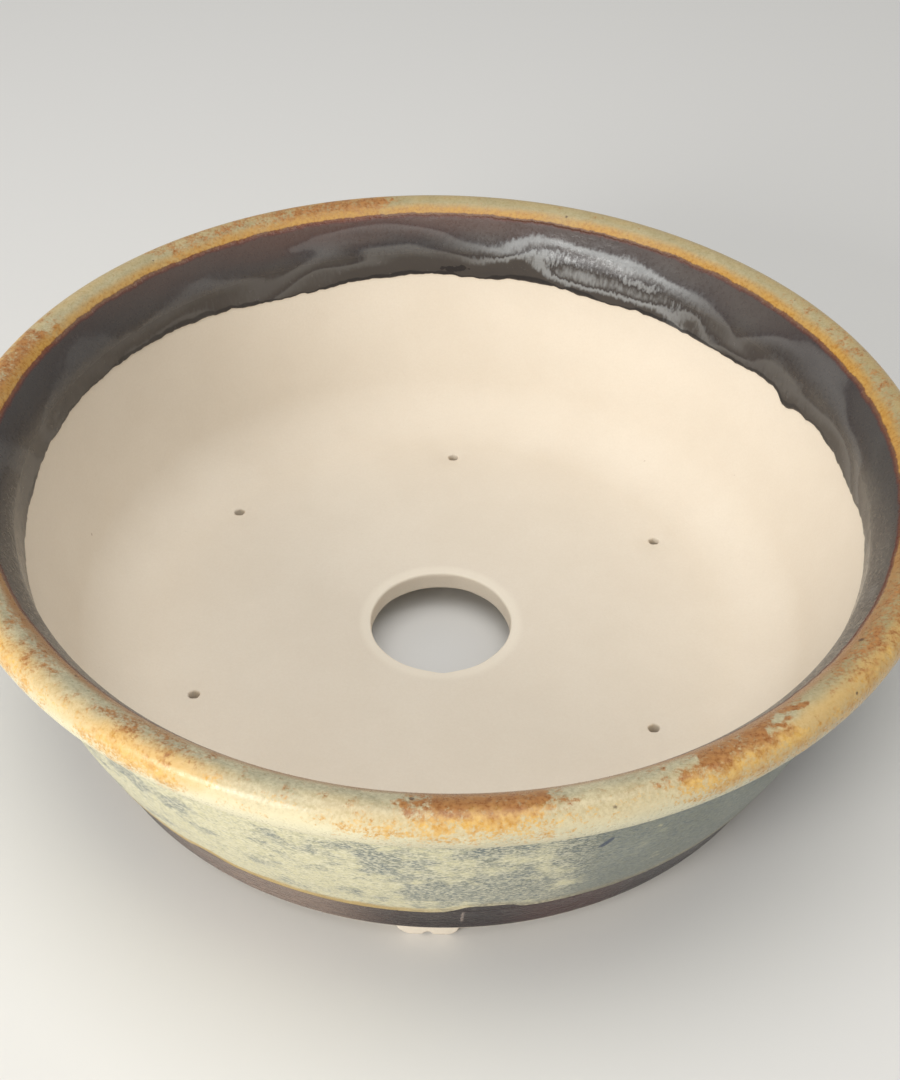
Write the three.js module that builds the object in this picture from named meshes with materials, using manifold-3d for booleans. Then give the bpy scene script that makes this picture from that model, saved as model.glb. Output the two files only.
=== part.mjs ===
// Shallow round bonsai pot in stoneware: floor slab, thrown wall, rolled rim, foot band and three feet.
// Millimetres, +Z up. The origin is on the ground, on the axis of the pot; the front is towards -Y.

import * as THREE from 'three';
import { mergeVertices } from 'three/addons/utils/BufferGeometryUtils.js';
import Module from 'manifold-3d';

const wasm = await Module();
wasm.setup();

// Overall sizes
const RIM_RADIUS = 178;            // outermost point of the rim
const POT_HEIGHT = 114;            // ground to the top of the rim
const BASE_RADIUS = 140;           // lowest edge of the foot band

// Clearances and fineness
const JOINT_GAP = 0.3;             // hairline between two pieces that touch
const CUT_OVERRUN = 5;             // how far a cutting tool runs past a face
const TURN_STEPS = 72;             // facets round the pot
const CURVE_STEPS = 6;             // facets along one curve of a section
const WELD_DISTANCE = 1e-4;        // points closer than this are one point

// Floor slab
const FLOOR_THICKNESS = 8;
const FLOOR_RECESS = 1.5;          // floor's underside above the foot band's lowest edge
const DRAIN_RADIUS = 28;
const DRAIN_CHAMFER = 1.2;
const WIRE_HOLE_RADIUS = 2;
const WIRE_HOLE_FLARE = 0.6;       // how much wider the hole is where the drill broke the surface
const WIRE_HOLE_STEPS = 12;
const WIRE_HOLES = [               // drilled by eye, so no two are on quite the same circle
  { angle: 88, radius: 106 },
  { angle: 30, radius: 104 },
  { angle: -34, radius: 98 },
  { angle: -93, radius: 99 },
  { angle: -155, radius: 103 },
  { angle: 144, radius: 109 },
];

// Wall
const WALL_THICKNESS = 8;
const WALL_BULGE = 3.2;            // outside of the wall beyond a straight cone, half-way up
const WALL_INNER_BULGE = 2.2;      // the same on the inside
const COVE_RADIUS = 29;            // sweep from the floor into the wall
const COVE_END_SLOPE = 22;         // degrees from upright where the sweep becomes the wall

// Rim: an oval roll that leans outwards and overhangs the wall
const RIM_OVERHANG = 14.5;         // rim's outermost point beyond the top of the wall
const RIM_HALF_WIDTH = 12.35;      // oval's long half, along the lean
const RIM_HALF_DEPTH = 7.7;        // oval's short half, across the lean
const RIM_LEAN = 37.6;             // degrees from upright
const RIM_LIP_TURN = 8;            // degrees past the oval's short axis where the lower lip ends
const RIM_LIP_ROUND = 1.3;         // rounding of the lower lip
const RIM_SEAT_DROP = 7.85;        // top of the wall below the middle of the oval

// Foot band, the plinth round the bottom of the wall
const BAND_HEIGHT = 19.3;
const BAND_THICKNESS = 4;
const BAND_FLARE = 6.8;            // top edge of the band further out than its bottom edge
const BAND_CHAMFER = 0.9;          // bare edge left at the bottom of the band

// Feet
const FOOT_NAMES = ['front_foot', 'right_rear_foot', 'left_rear_foot'];
const FRONT_FOOT_ANGLE = -90.7;    // degrees from +X; the feet were set by eye
const FOOT_HEIGHT = 10;            // ground to the foot band's lowest edge
const FOOT_DEPTH = 22;             // along the pot's radius
const FOOT_TOP_WIDTH = 34;
const FOOT_BOTTOM_WIDTH = 15;
const FOOT_SHOULDER = { width: 22, height: 4.2, sweep: 1 };
const FOOT_NOTCH = { width: 3.4, height: 1.6, depth: 7 };
const FOOT_CURVE_STEPS = 4;

// Heights above the ground and radii that follow from those sizes
const DEGREE = Math.PI / 180;
const bandBottom = FOOT_HEIGHT;
const bandTop = bandBottom + BAND_HEIGHT;
const floorBottom = bandBottom + FLOOR_RECESS;
const floorTop = floorBottom + FLOOR_THICKNESS;
const bandTopRadius = BASE_RADIUS + BAND_FLARE;
const bandInnerRadius = BASE_RADIUS - BAND_THICKNESS;
const footOuterRadius = bandInnerRadius - JOINT_GAP;
const footTop = floorBottom - JOINT_GAP;

const leanOut = new THREE.Vector2(Math.sin(RIM_LEAN * DEGREE), Math.cos(RIM_LEAN * DEGREE));
const leanDown = new THREE.Vector2(leanOut.y, -leanOut.x);
const rimReach = Math.hypot(RIM_HALF_WIDTH * leanOut.x, RIM_HALF_DEPTH * leanDown.x);
const rimRise = Math.hypot(RIM_HALF_WIDTH * leanOut.y, RIM_HALF_DEPTH * leanDown.y);
const rimCentre = new THREE.Vector2(RIM_RADIUS - rimReach, POT_HEIGHT - rimRise);
const wallTop = rimCentre.y - RIM_SEAT_DROP;
const wallTopRadius = RIM_RADIUS - RIM_OVERHANG;
const rimBottom = wallTop + JOINT_GAP;

function quadratic(start, bend, end, steps) {
  return new THREE.QuadraticBezierCurve(start, bend, end).getPoints(steps);
}

// Bend point of a curve that stands off its chord by the given amount, half-way up.
function bulged(start, end, bulge) {
  return new THREE.Vector2((start.x + end.x) / 2 + 2 * bulge, (start.y + end.y) / 2);
}

function lineMeet(start, startDirection, end, endDirection) {
  const gap = end.clone().sub(start);
  const along = gap.cross(endDirection) / startDirection.cross(endDirection);
  return start.clone().addScaledVector(startDirection, along);
}

// Closed ring whose section is the given loop of (radius, height) points, listed anticlockwise.
function ring(section) {
  const loop = [...section, section[0].clone()];
  const geometry = new THREE.LatheGeometry(loop, TURN_STEPS);
  geometry.rotateX(Math.PI / 2);
  return weld(geometry);
}

function weld(geometry) {
  geometry.deleteAttribute('normal');
  geometry.deleteAttribute('uv');
  return mergeVertices(geometry, WELD_DISTANCE);
}

function solid(geometry) {
  return new wasm.Manifold(new wasm.Mesh({
    numProp: 3,
    vertProperties: new Float32Array(geometry.attributes.position.array),
    triVerts: new Uint32Array(geometry.index.array),
  }));
}

function geometryOf(manifold) {
  const mesh = manifold.getMesh();
  const geometry = new THREE.BufferGeometry();
  geometry.setAttribute('position', new THREE.BufferAttribute(mesh.vertProperties, 3));
  geometry.setIndex(new THREE.BufferAttribute(mesh.triVerts, 1));
  return geometry;
}

function piece(name, geometry, material) {
  const mesh = new THREE.Mesh(geometry, material);
  mesh.name = name;
  return mesh;
}

// Sections

const wallOuterStart = new THREE.Vector2(bandTopRadius, bandTop + JOINT_GAP);
const wallOuterEnd = new THREE.Vector2(wallTopRadius, wallTop);
const wallOuter = new THREE.QuadraticBezierCurve(
  wallOuterStart,
  bulged(wallOuterStart, wallOuterEnd, WALL_BULGE),
  wallOuterEnd,
);

// Height rises evenly along this curve, because its bend is half-way up.
function wallOuterRadius(height) {
  const along = THREE.MathUtils.inverseLerp(wallOuterStart.y, wallOuterEnd.y, height);
  return wallOuter.getPoint(along).x;
}

const coveCentreHeight = floorTop + COVE_RADIUS;
const coveEndHeight = coveCentreHeight - COVE_RADIUS * Math.sin(COVE_END_SLOPE * DEGREE);
const coveEndRadius = wallOuterRadius(coveEndHeight) - WALL_THICKNESS / Math.cos(COVE_END_SLOPE * DEGREE);
const floorRadius = coveEndRadius - COVE_RADIUS * Math.cos(COVE_END_SLOPE * DEGREE);
const wallInnerEnd = new THREE.Vector2(wallTopRadius - WALL_THICKNESS, wallTop);
const wallInnerBend = bulged(new THREE.Vector2(coveEndRadius, coveEndHeight), wallInnerEnd, WALL_INNER_BULGE);

function wallSection() {
  const slabEdge = floorRadius + JOINT_GAP;
  const cove = [];
  for (let step = 1; step <= CURVE_STEPS; step += 1) {
    const turn = (step / CURVE_STEPS) * (90 - COVE_END_SLOPE) * DEGREE;
    cove.push(new THREE.Vector2(
      floorRadius + COVE_RADIUS * Math.sin(turn),
      coveCentreHeight - COVE_RADIUS * Math.cos(turn),
    ));
  }
  const inner = quadratic(cove.at(-1), wallInnerBend, wallInnerEnd, CURVE_STEPS).slice(1);
  return [
    new THREE.Vector2(slabEdge, floorTop),
    new THREE.Vector2(slabEdge, floorBottom),
    new THREE.Vector2(bandInnerRadius - JOINT_GAP, floorBottom),
    new THREE.Vector2(bandTopRadius - BAND_THICKNESS - JOINT_GAP, wallOuterStart.y),
    ...wallOuter.getPoints(CURVE_STEPS),
    ...inner.reverse(),
    ...cove.slice(0, -1).reverse(),
  ];
}

function ovalPoint(turn) {
  return rimCentre.clone()
    .addScaledVector(leanDown, RIM_HALF_DEPTH * Math.cos(turn * DEGREE))
    .addScaledVector(leanOut, RIM_HALF_WIDTH * Math.sin(turn * DEGREE));
}

function rimSection() {
  const roll = [];
  const rollSteps = 2 * CURVE_STEPS;
  for (let step = 0; step <= rollSteps; step += 1) {
    roll.push(ovalPoint(THREE.MathUtils.lerp(-RIM_LIP_TURN, 180, step / rollSteps)));
  }
  const innerStart = new THREE.Vector2(wallInnerEnd.x, rimBottom);
  const upTheWall = wallInnerEnd.clone().sub(wallInnerBend);
  const bend = lineMeet(innerStart, upTheWall, roll.at(-1), leanOut);
  const lip = roll[0];
  return [
    innerStart,
    new THREE.Vector2(lip.x - 2 * RIM_LIP_ROUND, rimBottom),
    new THREE.Vector2(lip.x - RIM_LIP_ROUND / 2, rimBottom + RIM_LIP_ROUND / 4),
    ...roll,
    ...quadratic(roll.at(-1), bend, innerStart, CURVE_STEPS).slice(1, -1),
  ];
}

function bandSection() {
  const slope = BAND_FLARE / BAND_HEIGHT;
  return [
    new THREE.Vector2(bandInnerRadius, bandBottom),
    new THREE.Vector2(BASE_RADIUS - BAND_CHAMFER, bandBottom),
    new THREE.Vector2(BASE_RADIUS + BAND_CHAMFER * slope, bandBottom + BAND_CHAMFER),
    new THREE.Vector2(bandTopRadius, bandTop),
    new THREE.Vector2(bandTopRadius - BAND_THICKNESS, bandTop),
  ];
}

function floorSection() {
  return [
    new THREE.Vector2(DRAIN_RADIUS, floorBottom),
    new THREE.Vector2(floorRadius, floorBottom),
    new THREE.Vector2(floorRadius, floorTop),
    new THREE.Vector2(DRAIN_RADIUS + DRAIN_CHAMFER, floorTop),
    new THREE.Vector2(DRAIN_RADIUS, floorTop - DRAIN_CHAMFER),
  ];
}

// Drill for one wire hole, flared where it meets the top of the floor.
function wireDrill() {
  const flareHeight = floorTop - WIRE_HOLE_FLARE;
  const profile = [
    new THREE.Vector2(0, floorBottom - CUT_OVERRUN),
    new THREE.Vector2(WIRE_HOLE_RADIUS, floorBottom - CUT_OVERRUN),
    new THREE.Vector2(WIRE_HOLE_RADIUS, flareHeight),
    new THREE.Vector2(WIRE_HOLE_RADIUS + WIRE_HOLE_FLARE + CUT_OVERRUN, floorTop + CUT_OVERRUN),
    new THREE.Vector2(0, floorTop + CUT_OVERRUN),
  ];
  const geometry = new THREE.LatheGeometry(profile, WIRE_HOLE_STEPS);
  geometry.rotateX(Math.PI / 2);
  return weld(geometry);
}

function floorSlab() {
  let slab = solid(ring(floorSection()));
  for (const hole of WIRE_HOLES) {
    const drill = wireDrill();
    drill.translate(
      hole.radius * Math.cos(hole.angle * DEGREE),
      hole.radius * Math.sin(hole.angle * DEGREE),
      0,
    );
    slab = slab.subtract(solid(drill));
  }
  return geometryOf(slab);
}

// Front view of a foot: cloud-shaped sides that swell above the toes, then sweep out to the top.
function footOutline() {
  const toe = FOOT_BOTTOM_WIDTH / 2;
  const shoulder = FOOT_SHOULDER.width / 2;
  const top = FOOT_TOP_WIDTH / 2;
  const swell = { across: shoulder - FOOT_SHOULDER.sweep, up: FOOT_SHOULDER.height / 4 };
  const waist = { across: shoulder + FOOT_SHOULDER.sweep, up: (FOOT_SHOULDER.height + 2 * footTop) / 3 };
  const shape = new THREE.Shape();
  shape.moveTo(-toe, 0);
  shape.lineTo(toe, 0);
  shape.quadraticCurveTo(swell.across, swell.up, shoulder, FOOT_SHOULDER.height);
  shape.quadraticCurveTo(waist.across, waist.up, top, footTop);
  shape.lineTo(-top, footTop);
  shape.quadraticCurveTo(-waist.across, waist.up, -shoulder, FOOT_SHOULDER.height);
  shape.quadraticCurveTo(-swell.across, swell.up, -toe, 0);
  return shape;
}

// Extrudes an outline drawn as (across, up) along the direction away from the pot's axis.
function extrudeOutwards(shape, from, to) {
  const geometry = new THREE.ExtrudeGeometry(shape, {
    depth: to - from,
    bevelEnabled: false,
    curveSegments: FOOT_CURVE_STEPS,
  });
  geometry.rotateX(Math.PI / 2);
  geometry.rotateZ(Math.PI / 2);
  geometry.translate(from, 0, 0);
  return weld(geometry);
}

// Small arch carved up into the front edge of the foot, between the toes.
function footNotch() {
  const half = FOOT_NOTCH.width / 2;
  const shape = new THREE.Shape();
  shape.moveTo(-half, -CUT_OVERRUN);
  shape.lineTo(half, -CUT_OVERRUN);
  shape.lineTo(half, 0);
  shape.quadraticCurveTo(half / 3, FOOT_NOTCH.height, 0, FOOT_NOTCH.height);
  shape.quadraticCurveTo(-half / 3, FOOT_NOTCH.height, -half, 0);
  return extrudeOutwards(shape, footOuterRadius - FOOT_NOTCH.depth, footOuterRadius + CUT_OVERRUN);
}

function foot() {
  const innerRadius = footOuterRadius - FOOT_DEPTH;
  const curvedZone = ring([
    new THREE.Vector2(innerRadius, -CUT_OVERRUN),
    new THREE.Vector2(footOuterRadius, -CUT_OVERRUN),
    new THREE.Vector2(footOuterRadius, footTop + CUT_OVERRUN),
    new THREE.Vector2(innerRadius, footTop + CUT_OVERRUN),
  ]);
  const block = extrudeOutwards(footOutline(), innerRadius - CUT_OVERRUN, footOuterRadius + CUT_OVERRUN);
  return geometryOf(solid(block).intersect(solid(curvedZone)).subtract(solid(footNotch())));
}

// Finishes

const bareClay = new THREE.MeshStandardMaterial({ color: 0xd9cbb5, roughness: 0.9, metalness: 0 });
const mottledGlaze = new THREE.MeshStandardMaterial({ color: 0xb9b78f, roughness: 0.35, metalness: 0 });
const rustGlaze = new THREE.MeshStandardMaterial({ color: 0xb88a4a, roughness: 0.3, metalness: 0 });
const darkGlaze = new THREE.MeshStandardMaterial({ color: 0x3a2e30, roughness: 0.25, metalness: 0 });

const pot = new THREE.Group();
pot.add(piece('floor_slab', floorSlab(), bareClay));
pot.add(piece('wall', ring(wallSection()), mottledGlaze));
pot.add(piece('rim', ring(rimSection()), rustGlaze));
pot.add(piece('foot_band', ring(bandSection()), darkGlaze));

FOOT_NAMES.forEach((name, index) => {
  const mesh = piece(name, foot(), bareClay);
  mesh.rotation.z = FRONT_FOOT_ANGLE * DEGREE + (index * 2 * Math.PI) / FOOT_NAMES.length;
  pot.add(mesh);
});

export default pot;
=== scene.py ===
import math
from collections import namedtuple

import bmesh
import bpy
from mathutils import Matrix, Vector
from mathutils.geometry import delaunay_2d_cdt


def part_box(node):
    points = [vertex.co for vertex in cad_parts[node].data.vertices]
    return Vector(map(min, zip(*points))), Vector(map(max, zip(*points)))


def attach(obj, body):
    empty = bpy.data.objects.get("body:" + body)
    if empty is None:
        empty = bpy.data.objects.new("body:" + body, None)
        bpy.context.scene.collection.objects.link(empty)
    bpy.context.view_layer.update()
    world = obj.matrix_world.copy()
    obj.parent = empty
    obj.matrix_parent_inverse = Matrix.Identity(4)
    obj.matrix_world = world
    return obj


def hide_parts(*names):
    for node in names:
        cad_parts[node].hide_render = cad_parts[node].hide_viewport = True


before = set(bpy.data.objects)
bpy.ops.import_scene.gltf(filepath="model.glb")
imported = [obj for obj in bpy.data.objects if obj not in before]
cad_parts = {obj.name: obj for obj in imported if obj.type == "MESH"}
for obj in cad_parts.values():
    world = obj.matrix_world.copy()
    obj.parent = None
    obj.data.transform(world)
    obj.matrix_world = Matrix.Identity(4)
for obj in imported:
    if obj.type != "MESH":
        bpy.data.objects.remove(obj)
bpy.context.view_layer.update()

# Shallow round bonsai pot in stoneware. Sizes are millimetres unless a comment says otherwise, and the scene
# is in metres. Angles round the pot are degrees from +X, so the front is at -90 and the back at 90.
MM = 0.001

# Fineness
TURN_STEPS = 720
DRAIN_STEPS = 180
WIRE_HOLE_STEPS = 36
WELD_DISTANCE = 0.001
SHARP_ANGLE = math.radians(40)

# Inside sweep from the floor into the wall
COVE_RADIUS = 29
COVE_END_SLOPE = 22
COVE_ROWS = 22

# Wall, and how far its two faces stand off the straight line from bottom to top
WALL_THICKNESS = 8
WALL_BULGE = 3.2
WALL_INNER_BULGE = 2.2
INNER_WALL_ROWS = 22
MOUTH_COAT_ROWS = 8
OUTER_WALL_ROWS = 34

# Rim: an oval roll that leans outwards
RIM_HALF_WIDTH = 12.35
RIM_HALF_DEPTH = 7.7
RIM_LEAN = math.radians(37.6)
RIM_LIP_TURN = -8
RIM_ROWS = 48
FLARE_ROWS = 12
LIP_ROUND = 1.3
LIP_ROWS = 5

# Foot band
BAND_FLARE = 6.8
BAND_THICKNESS = 4
BAND_CHAMFER = 0.9
BAND_HOLLOW = 0.35
BAND_COAT = 0.12
BAND_ROWS = 16

# Joints between pieces: how far the slab's edge reaches past its radius in the CAD, and how far the hidden
# faces are drawn back from a joint and from its two edges
SLAB_REACH = 0.15
JOINT_DEPTH = 0.12
JOINT_INSET = 0.6

# Drain hole and wire holes, drilled by eye: (degrees, radius)
DRAIN_RADIUS = 28
DRAIN_LIP = 1.1
DRAIN_LIP_ROWS = 10
DRAIN_WALL_ROWS = 5
WIRE_HOLE_RADIUS = 2
WIRE_HOLE_FLARE = 0.6
WIRE_HOLES = [(88, 106), (30, 104), (-34, 98), (-93, 99), (-155, 103), (144, 109)]

# Rings of points that keep the slab's flat faces even: (radius, number of points)
SLAB_RINGS = [(38, 120), (50, 120), (64, 144), (79, 180), (92, 216), (112.5, 360)]

# Feet
FRONT_FOOT_ANGLE = -90.7
FEET = ["front_foot", "right_rear_foot", "left_rear_foot"]
FOOT_DEPTH = 22
FOOT_TOP_WIDTH = 34
FOOT_BOTTOM_WIDTH = 15
FOOT_SHOULDER_WIDTH = 22
FOOT_SHOULDER_HEIGHT = 4.2
FOOT_NOTCH_WIDTH = 3.4
FOOT_NOTCH_HEIGHT = 1.6
FOOT_NOTCH_DEPTH = 7
FOOT_GAP = 0.3
FOOT_STEPS = (60, 16, 24)
FOOT_VOXEL = 0.45
FOOT_SMOOTHING = 8

# Glaze coats: thickness, the level height that each coat's edge runs about, and the height range of its run
COAT = 0.35
MOUTH_EDGE = 85
MOUTH_SWING = 12
HEM_EDGE = 30
HEM_SWING = 12
UNDER_HEM = -0.03

# Bead along each coat's edge: (distance past the edge, thickness)
MOUTH_BEAD = [(0, 0), (0.08, 0.22), (0.3, 0.4), (0.7, 0.5), (1.3, 0.5), (2.2, 0.42), (3.2, 0.36)]
HEM_BEAD = [(1.0, 0.5), (0.55, 0.6), (0.25, 0.52), (0.06, 0.3)]

# Unevenness of the ring maker: height of the rags along the mouth glaze's edge, the hem's share of them, how
# far the wall swells and shrinks, and the seed of both
RAGGED_EDGE = 4
HEM_RAGS = 0.4
WOBBLE = 0.5
SEED = 7.0

# Run of the dark mouth glaze's lower edge round the inside: (degrees, height)
MOUTH_RUN = [
    (-180, 83), (-168, 83), (-150, 84), (-120, 85.5), (-90, 86), (-50, 87), (-28, 89.5), (-11, 89),
    (-3, 87.6), (6, 85), (13, 85.7), (21, 84.6), (24.5, 82.6), (26, 81), (28, 83), (31, 84.8), (37, 83),
    (45, 82.8), (55, 84), (63, 83.2), (71, 84.6), (78, 85.1), (85, 84), (92, 85.6), (98, 85), (107, 84),
    (117, 82.4), (124, 83.6), (133, 85.6), (140, 86.6), (157, 87), (167, 86), (175, 84.6), (180, 83),
]

# Run of the outer glaze's lower edge: (degrees, height)
HEM_RUN = [
    (-180, 30), (-150, 31.5), (-132, 31), (-124.5, 31), (-121, 35), (-117.5, 31.3), (-108, 30.3),
    (-92, 29.2), (-87.4, 30.8), (-85.3, 36.2), (-81, 35.8), (-79.4, 34.4), (-77.6, 30.9), (-72, 31.4),
    (-60, 31), (-45, 31.2), (-20, 31.6), (5, 32), (11, 34), (17, 30.6), (60, 31), (97, 33.5), (104, 30),
    (140, 31), (158, 34), (166, 30.4), (180, 30),
]

# How much of the rim is rust, 0 to 1, round the pot, on its outer half and on its inner half
RUST_OUTSIDE = [
    (-180, 0.55), (-171, 0.2), (-150, 0.25), (-143, 0.64), (-134, 0.6), (-129, 0.2), (-123, 0.74),
    (-114, 0.68), (-111, 0.12), (-101, 0.16), (-95, 0.56), (-79, 0.58), (-74, 0.16), (-68, 0.24),
    (-61, 0.62), (-44, 0.72), (-31, 0.64), (-16, 0.46), (0, 0.46), (12, 0.68), (26, 0.72), (40, 0.34),
    (52, 0.12), (90, 0.12), (103, 0.6), (114, 0.7), (124, 0.5), (134, 0.4), (144, 0.16), (153, 0.24),
    (164, 0.62), (172, 0.66), (180, 0.52),
]
RUST_INSIDE = [
    (-180, 0.62), (-166, 0.34), (-152, 0.3), (-143, 0.46), (-134, 0.42), (-129, 0.24), (-122, 0.54),
    (-114, 0.44), (-108, 0.18), (-96, 0.16), (-88.5, 0.95), (-80, 0.95), (-74.5, 0.16), (-69, 0.18),
    (-64, 0.84), (-53, 0.9), (-50, 0.16), (-44, 0.28), (-38, 0.58), (-20, 0.52), (2, 0.4), (30, 0.35),
    (42, 0.1), (97, 0.1), (101, 0.8), (113, 0.82), (118, 0.5), (133, 0.58), (138, 0.1), (155, 0.12),
    (160, 0.8), (170, 0.8), (180, 0.62),
]

# How much painted light, a pale cream, lies on the outer half of the rim, 0 to 1, round the pot
LIT_CREAM = [
    (-180, 0.45), (-158, 0.6), (-140, 0.8), (-112, 1), (-98, 0.95), (-86, 0.55), (-72, 0.75), (-62, 0.5),
    (-46, 0.2), (-20, 0.15), (40, 0.3), (90, 0.1), (140, 0.35), (180, 0.45),
]

# How olive the inner half of the rim is between its rust patches, 0 to 1, round the pot
OLIVE = [
    (-180, 0.35), (-150, 0.2), (-110, 0.05), (-62, 0.12), (-46, 0.6), (-25, 0.86), (10, 0.8), (40, 0.6),
    (90, 0.66), (140, 0.5), (180, 0.35),
]

# How much soft honey colour lies along the rim's crest, 0 to 1, round the pot
HONEY = [
    (-180, 0.35), (-160, 0.3), (-143, 0.75), (-130, 0.45), (-121, 0.9), (-113, 0.75), (-105, 0.15),
    (-96, 0.3), (-74, 0.2), (-66, 0.3), (-48, 0.7), (-25, 0.75), (5, 0.35), (60, 0.3), (180, 0.35),
]

# How straw-yellow the outer wall is, 0 to 1, round the pot
STRAW = [
    (-180, 0.4), (-150, 0.45), (-132, 0.5), (-122, 0.66), (-100, 0.6), (-92, 0.46), (-76, 0.36),
    (-67, 0.14), (-45, 0.12), (-10, 0.3), (25, 0.55), (60, 0.35), (95, 0.5), (130, 0.6), (160, 0.35),
    (180, 0.4),
]

# Kinds of surface on a turned piece, and the material socket of the ring maker that each one takes
BARE, COATED, MOUTH, HEM = range(4)
SURFACE_SOCKETS = ["Bare Clay", "Main Coat", "Mouth Coat", "Hem Coat"]


# Places taken from the frame

def low_of(node):
    """Lowest corner of a CAD node, in millimetres."""
    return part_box(node)[0] / MM


def high_of(node):
    """Highest corner of a CAD node, in millimetres."""
    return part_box(node)[1] / MM


RIM_RADIUS = high_of("rim").x
POT_HEIGHT = high_of("rim").z
WALL_TOP_RADIUS = high_of("wall").x
WALL_TOP = (high_of("wall").z + low_of("rim").z) / 2
FLOOR_TOP = high_of("floor_slab").z
FLOOR_BOTTOM = low_of("floor_slab").z
FLOOR_RADIUS = high_of("floor_slab").x
SLAB_EDGE = FLOOR_RADIUS + SLAB_REACH
BAND_BOTTOM = low_of("foot_band").z
BAND_TOP = high_of("foot_band").z
BAND_TOP_RADIUS = high_of("foot_band").x
BASE_RADIUS = BAND_TOP_RADIUS - BAND_FLARE
BAND_INNER_RADIUS = BASE_RADIUS - BAND_THICKNESS
FOOT_OUTER_RADIUS = BAND_INNER_RADIUS - FOOT_GAP
LEAN_OUT = Vector((math.sin(RIM_LEAN), math.cos(RIM_LEAN)))
LEAN_DOWN = Vector((LEAN_OUT.y, -LEAN_OUT.x))
RIM_CENTRE = Vector((
    RIM_RADIUS - math.hypot(RIM_HALF_WIDTH * LEAN_OUT.x, RIM_HALF_DEPTH * LEAN_DOWN.x),
    POT_HEIGHT - math.hypot(RIM_HALF_WIDTH * LEAN_OUT.y, RIM_HALF_DEPTH * LEAN_DOWN.y),
))


# Small helpers

def mix(start, end, share):
    """The value that lies the given share of the way from start to end."""
    return start + (end - start) * share


def share_of(value, start, end):
    """How far value has come from start to end, held between 0 and 1."""
    return min(1, max(0, (value - start) / (end - start)))


def steps(start, end, count):
    """Evenly spaced values from start to end, both included."""
    return [mix(start, end, step / count) for step in range(count + 1)]


def paint(red, green, blue):
    """A colour as the eye reads it, 0 to 255 each, turned into the linear colour that a shader takes."""
    linear = []
    for level in (red, green, blue):
        value = level / 255
        linear.append(value / 12.92 if value <= 0.04045 else ((value + 0.055) / 1.055) ** 2.4)
    return (*linear, 1)


def link_object(name, mesh):
    """Puts a mesh into the scene as an object at the origin."""
    piece = bpy.data.objects.new(name, mesh)
    bpy.context.scene.collection.objects.link(piece)
    return piece


def bake_modifiers(piece):
    """Turns the object with its modifiers into a plain mesh."""
    bpy.context.view_layer.update()
    depsgraph = bpy.context.evaluated_depsgraph_get()
    mesh = bpy.data.meshes.new_from_object(piece.evaluated_get(depsgraph))
    piece.modifiers.clear()
    piece.data = mesh


def face_outwards(mesh):
    """Makes every face of a closed mesh point out and smooths it, apart from its sharp edges."""
    shape = bmesh.new()
    shape.from_mesh(mesh)
    bmesh.ops.recalc_face_normals(shape, faces=shape.faces)
    shape.to_mesh(mesh)
    shape.free()
    mesh.shade_smooth()
    mesh.set_sharp_from_angle(angle=SHARP_ANGLE)


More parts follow.
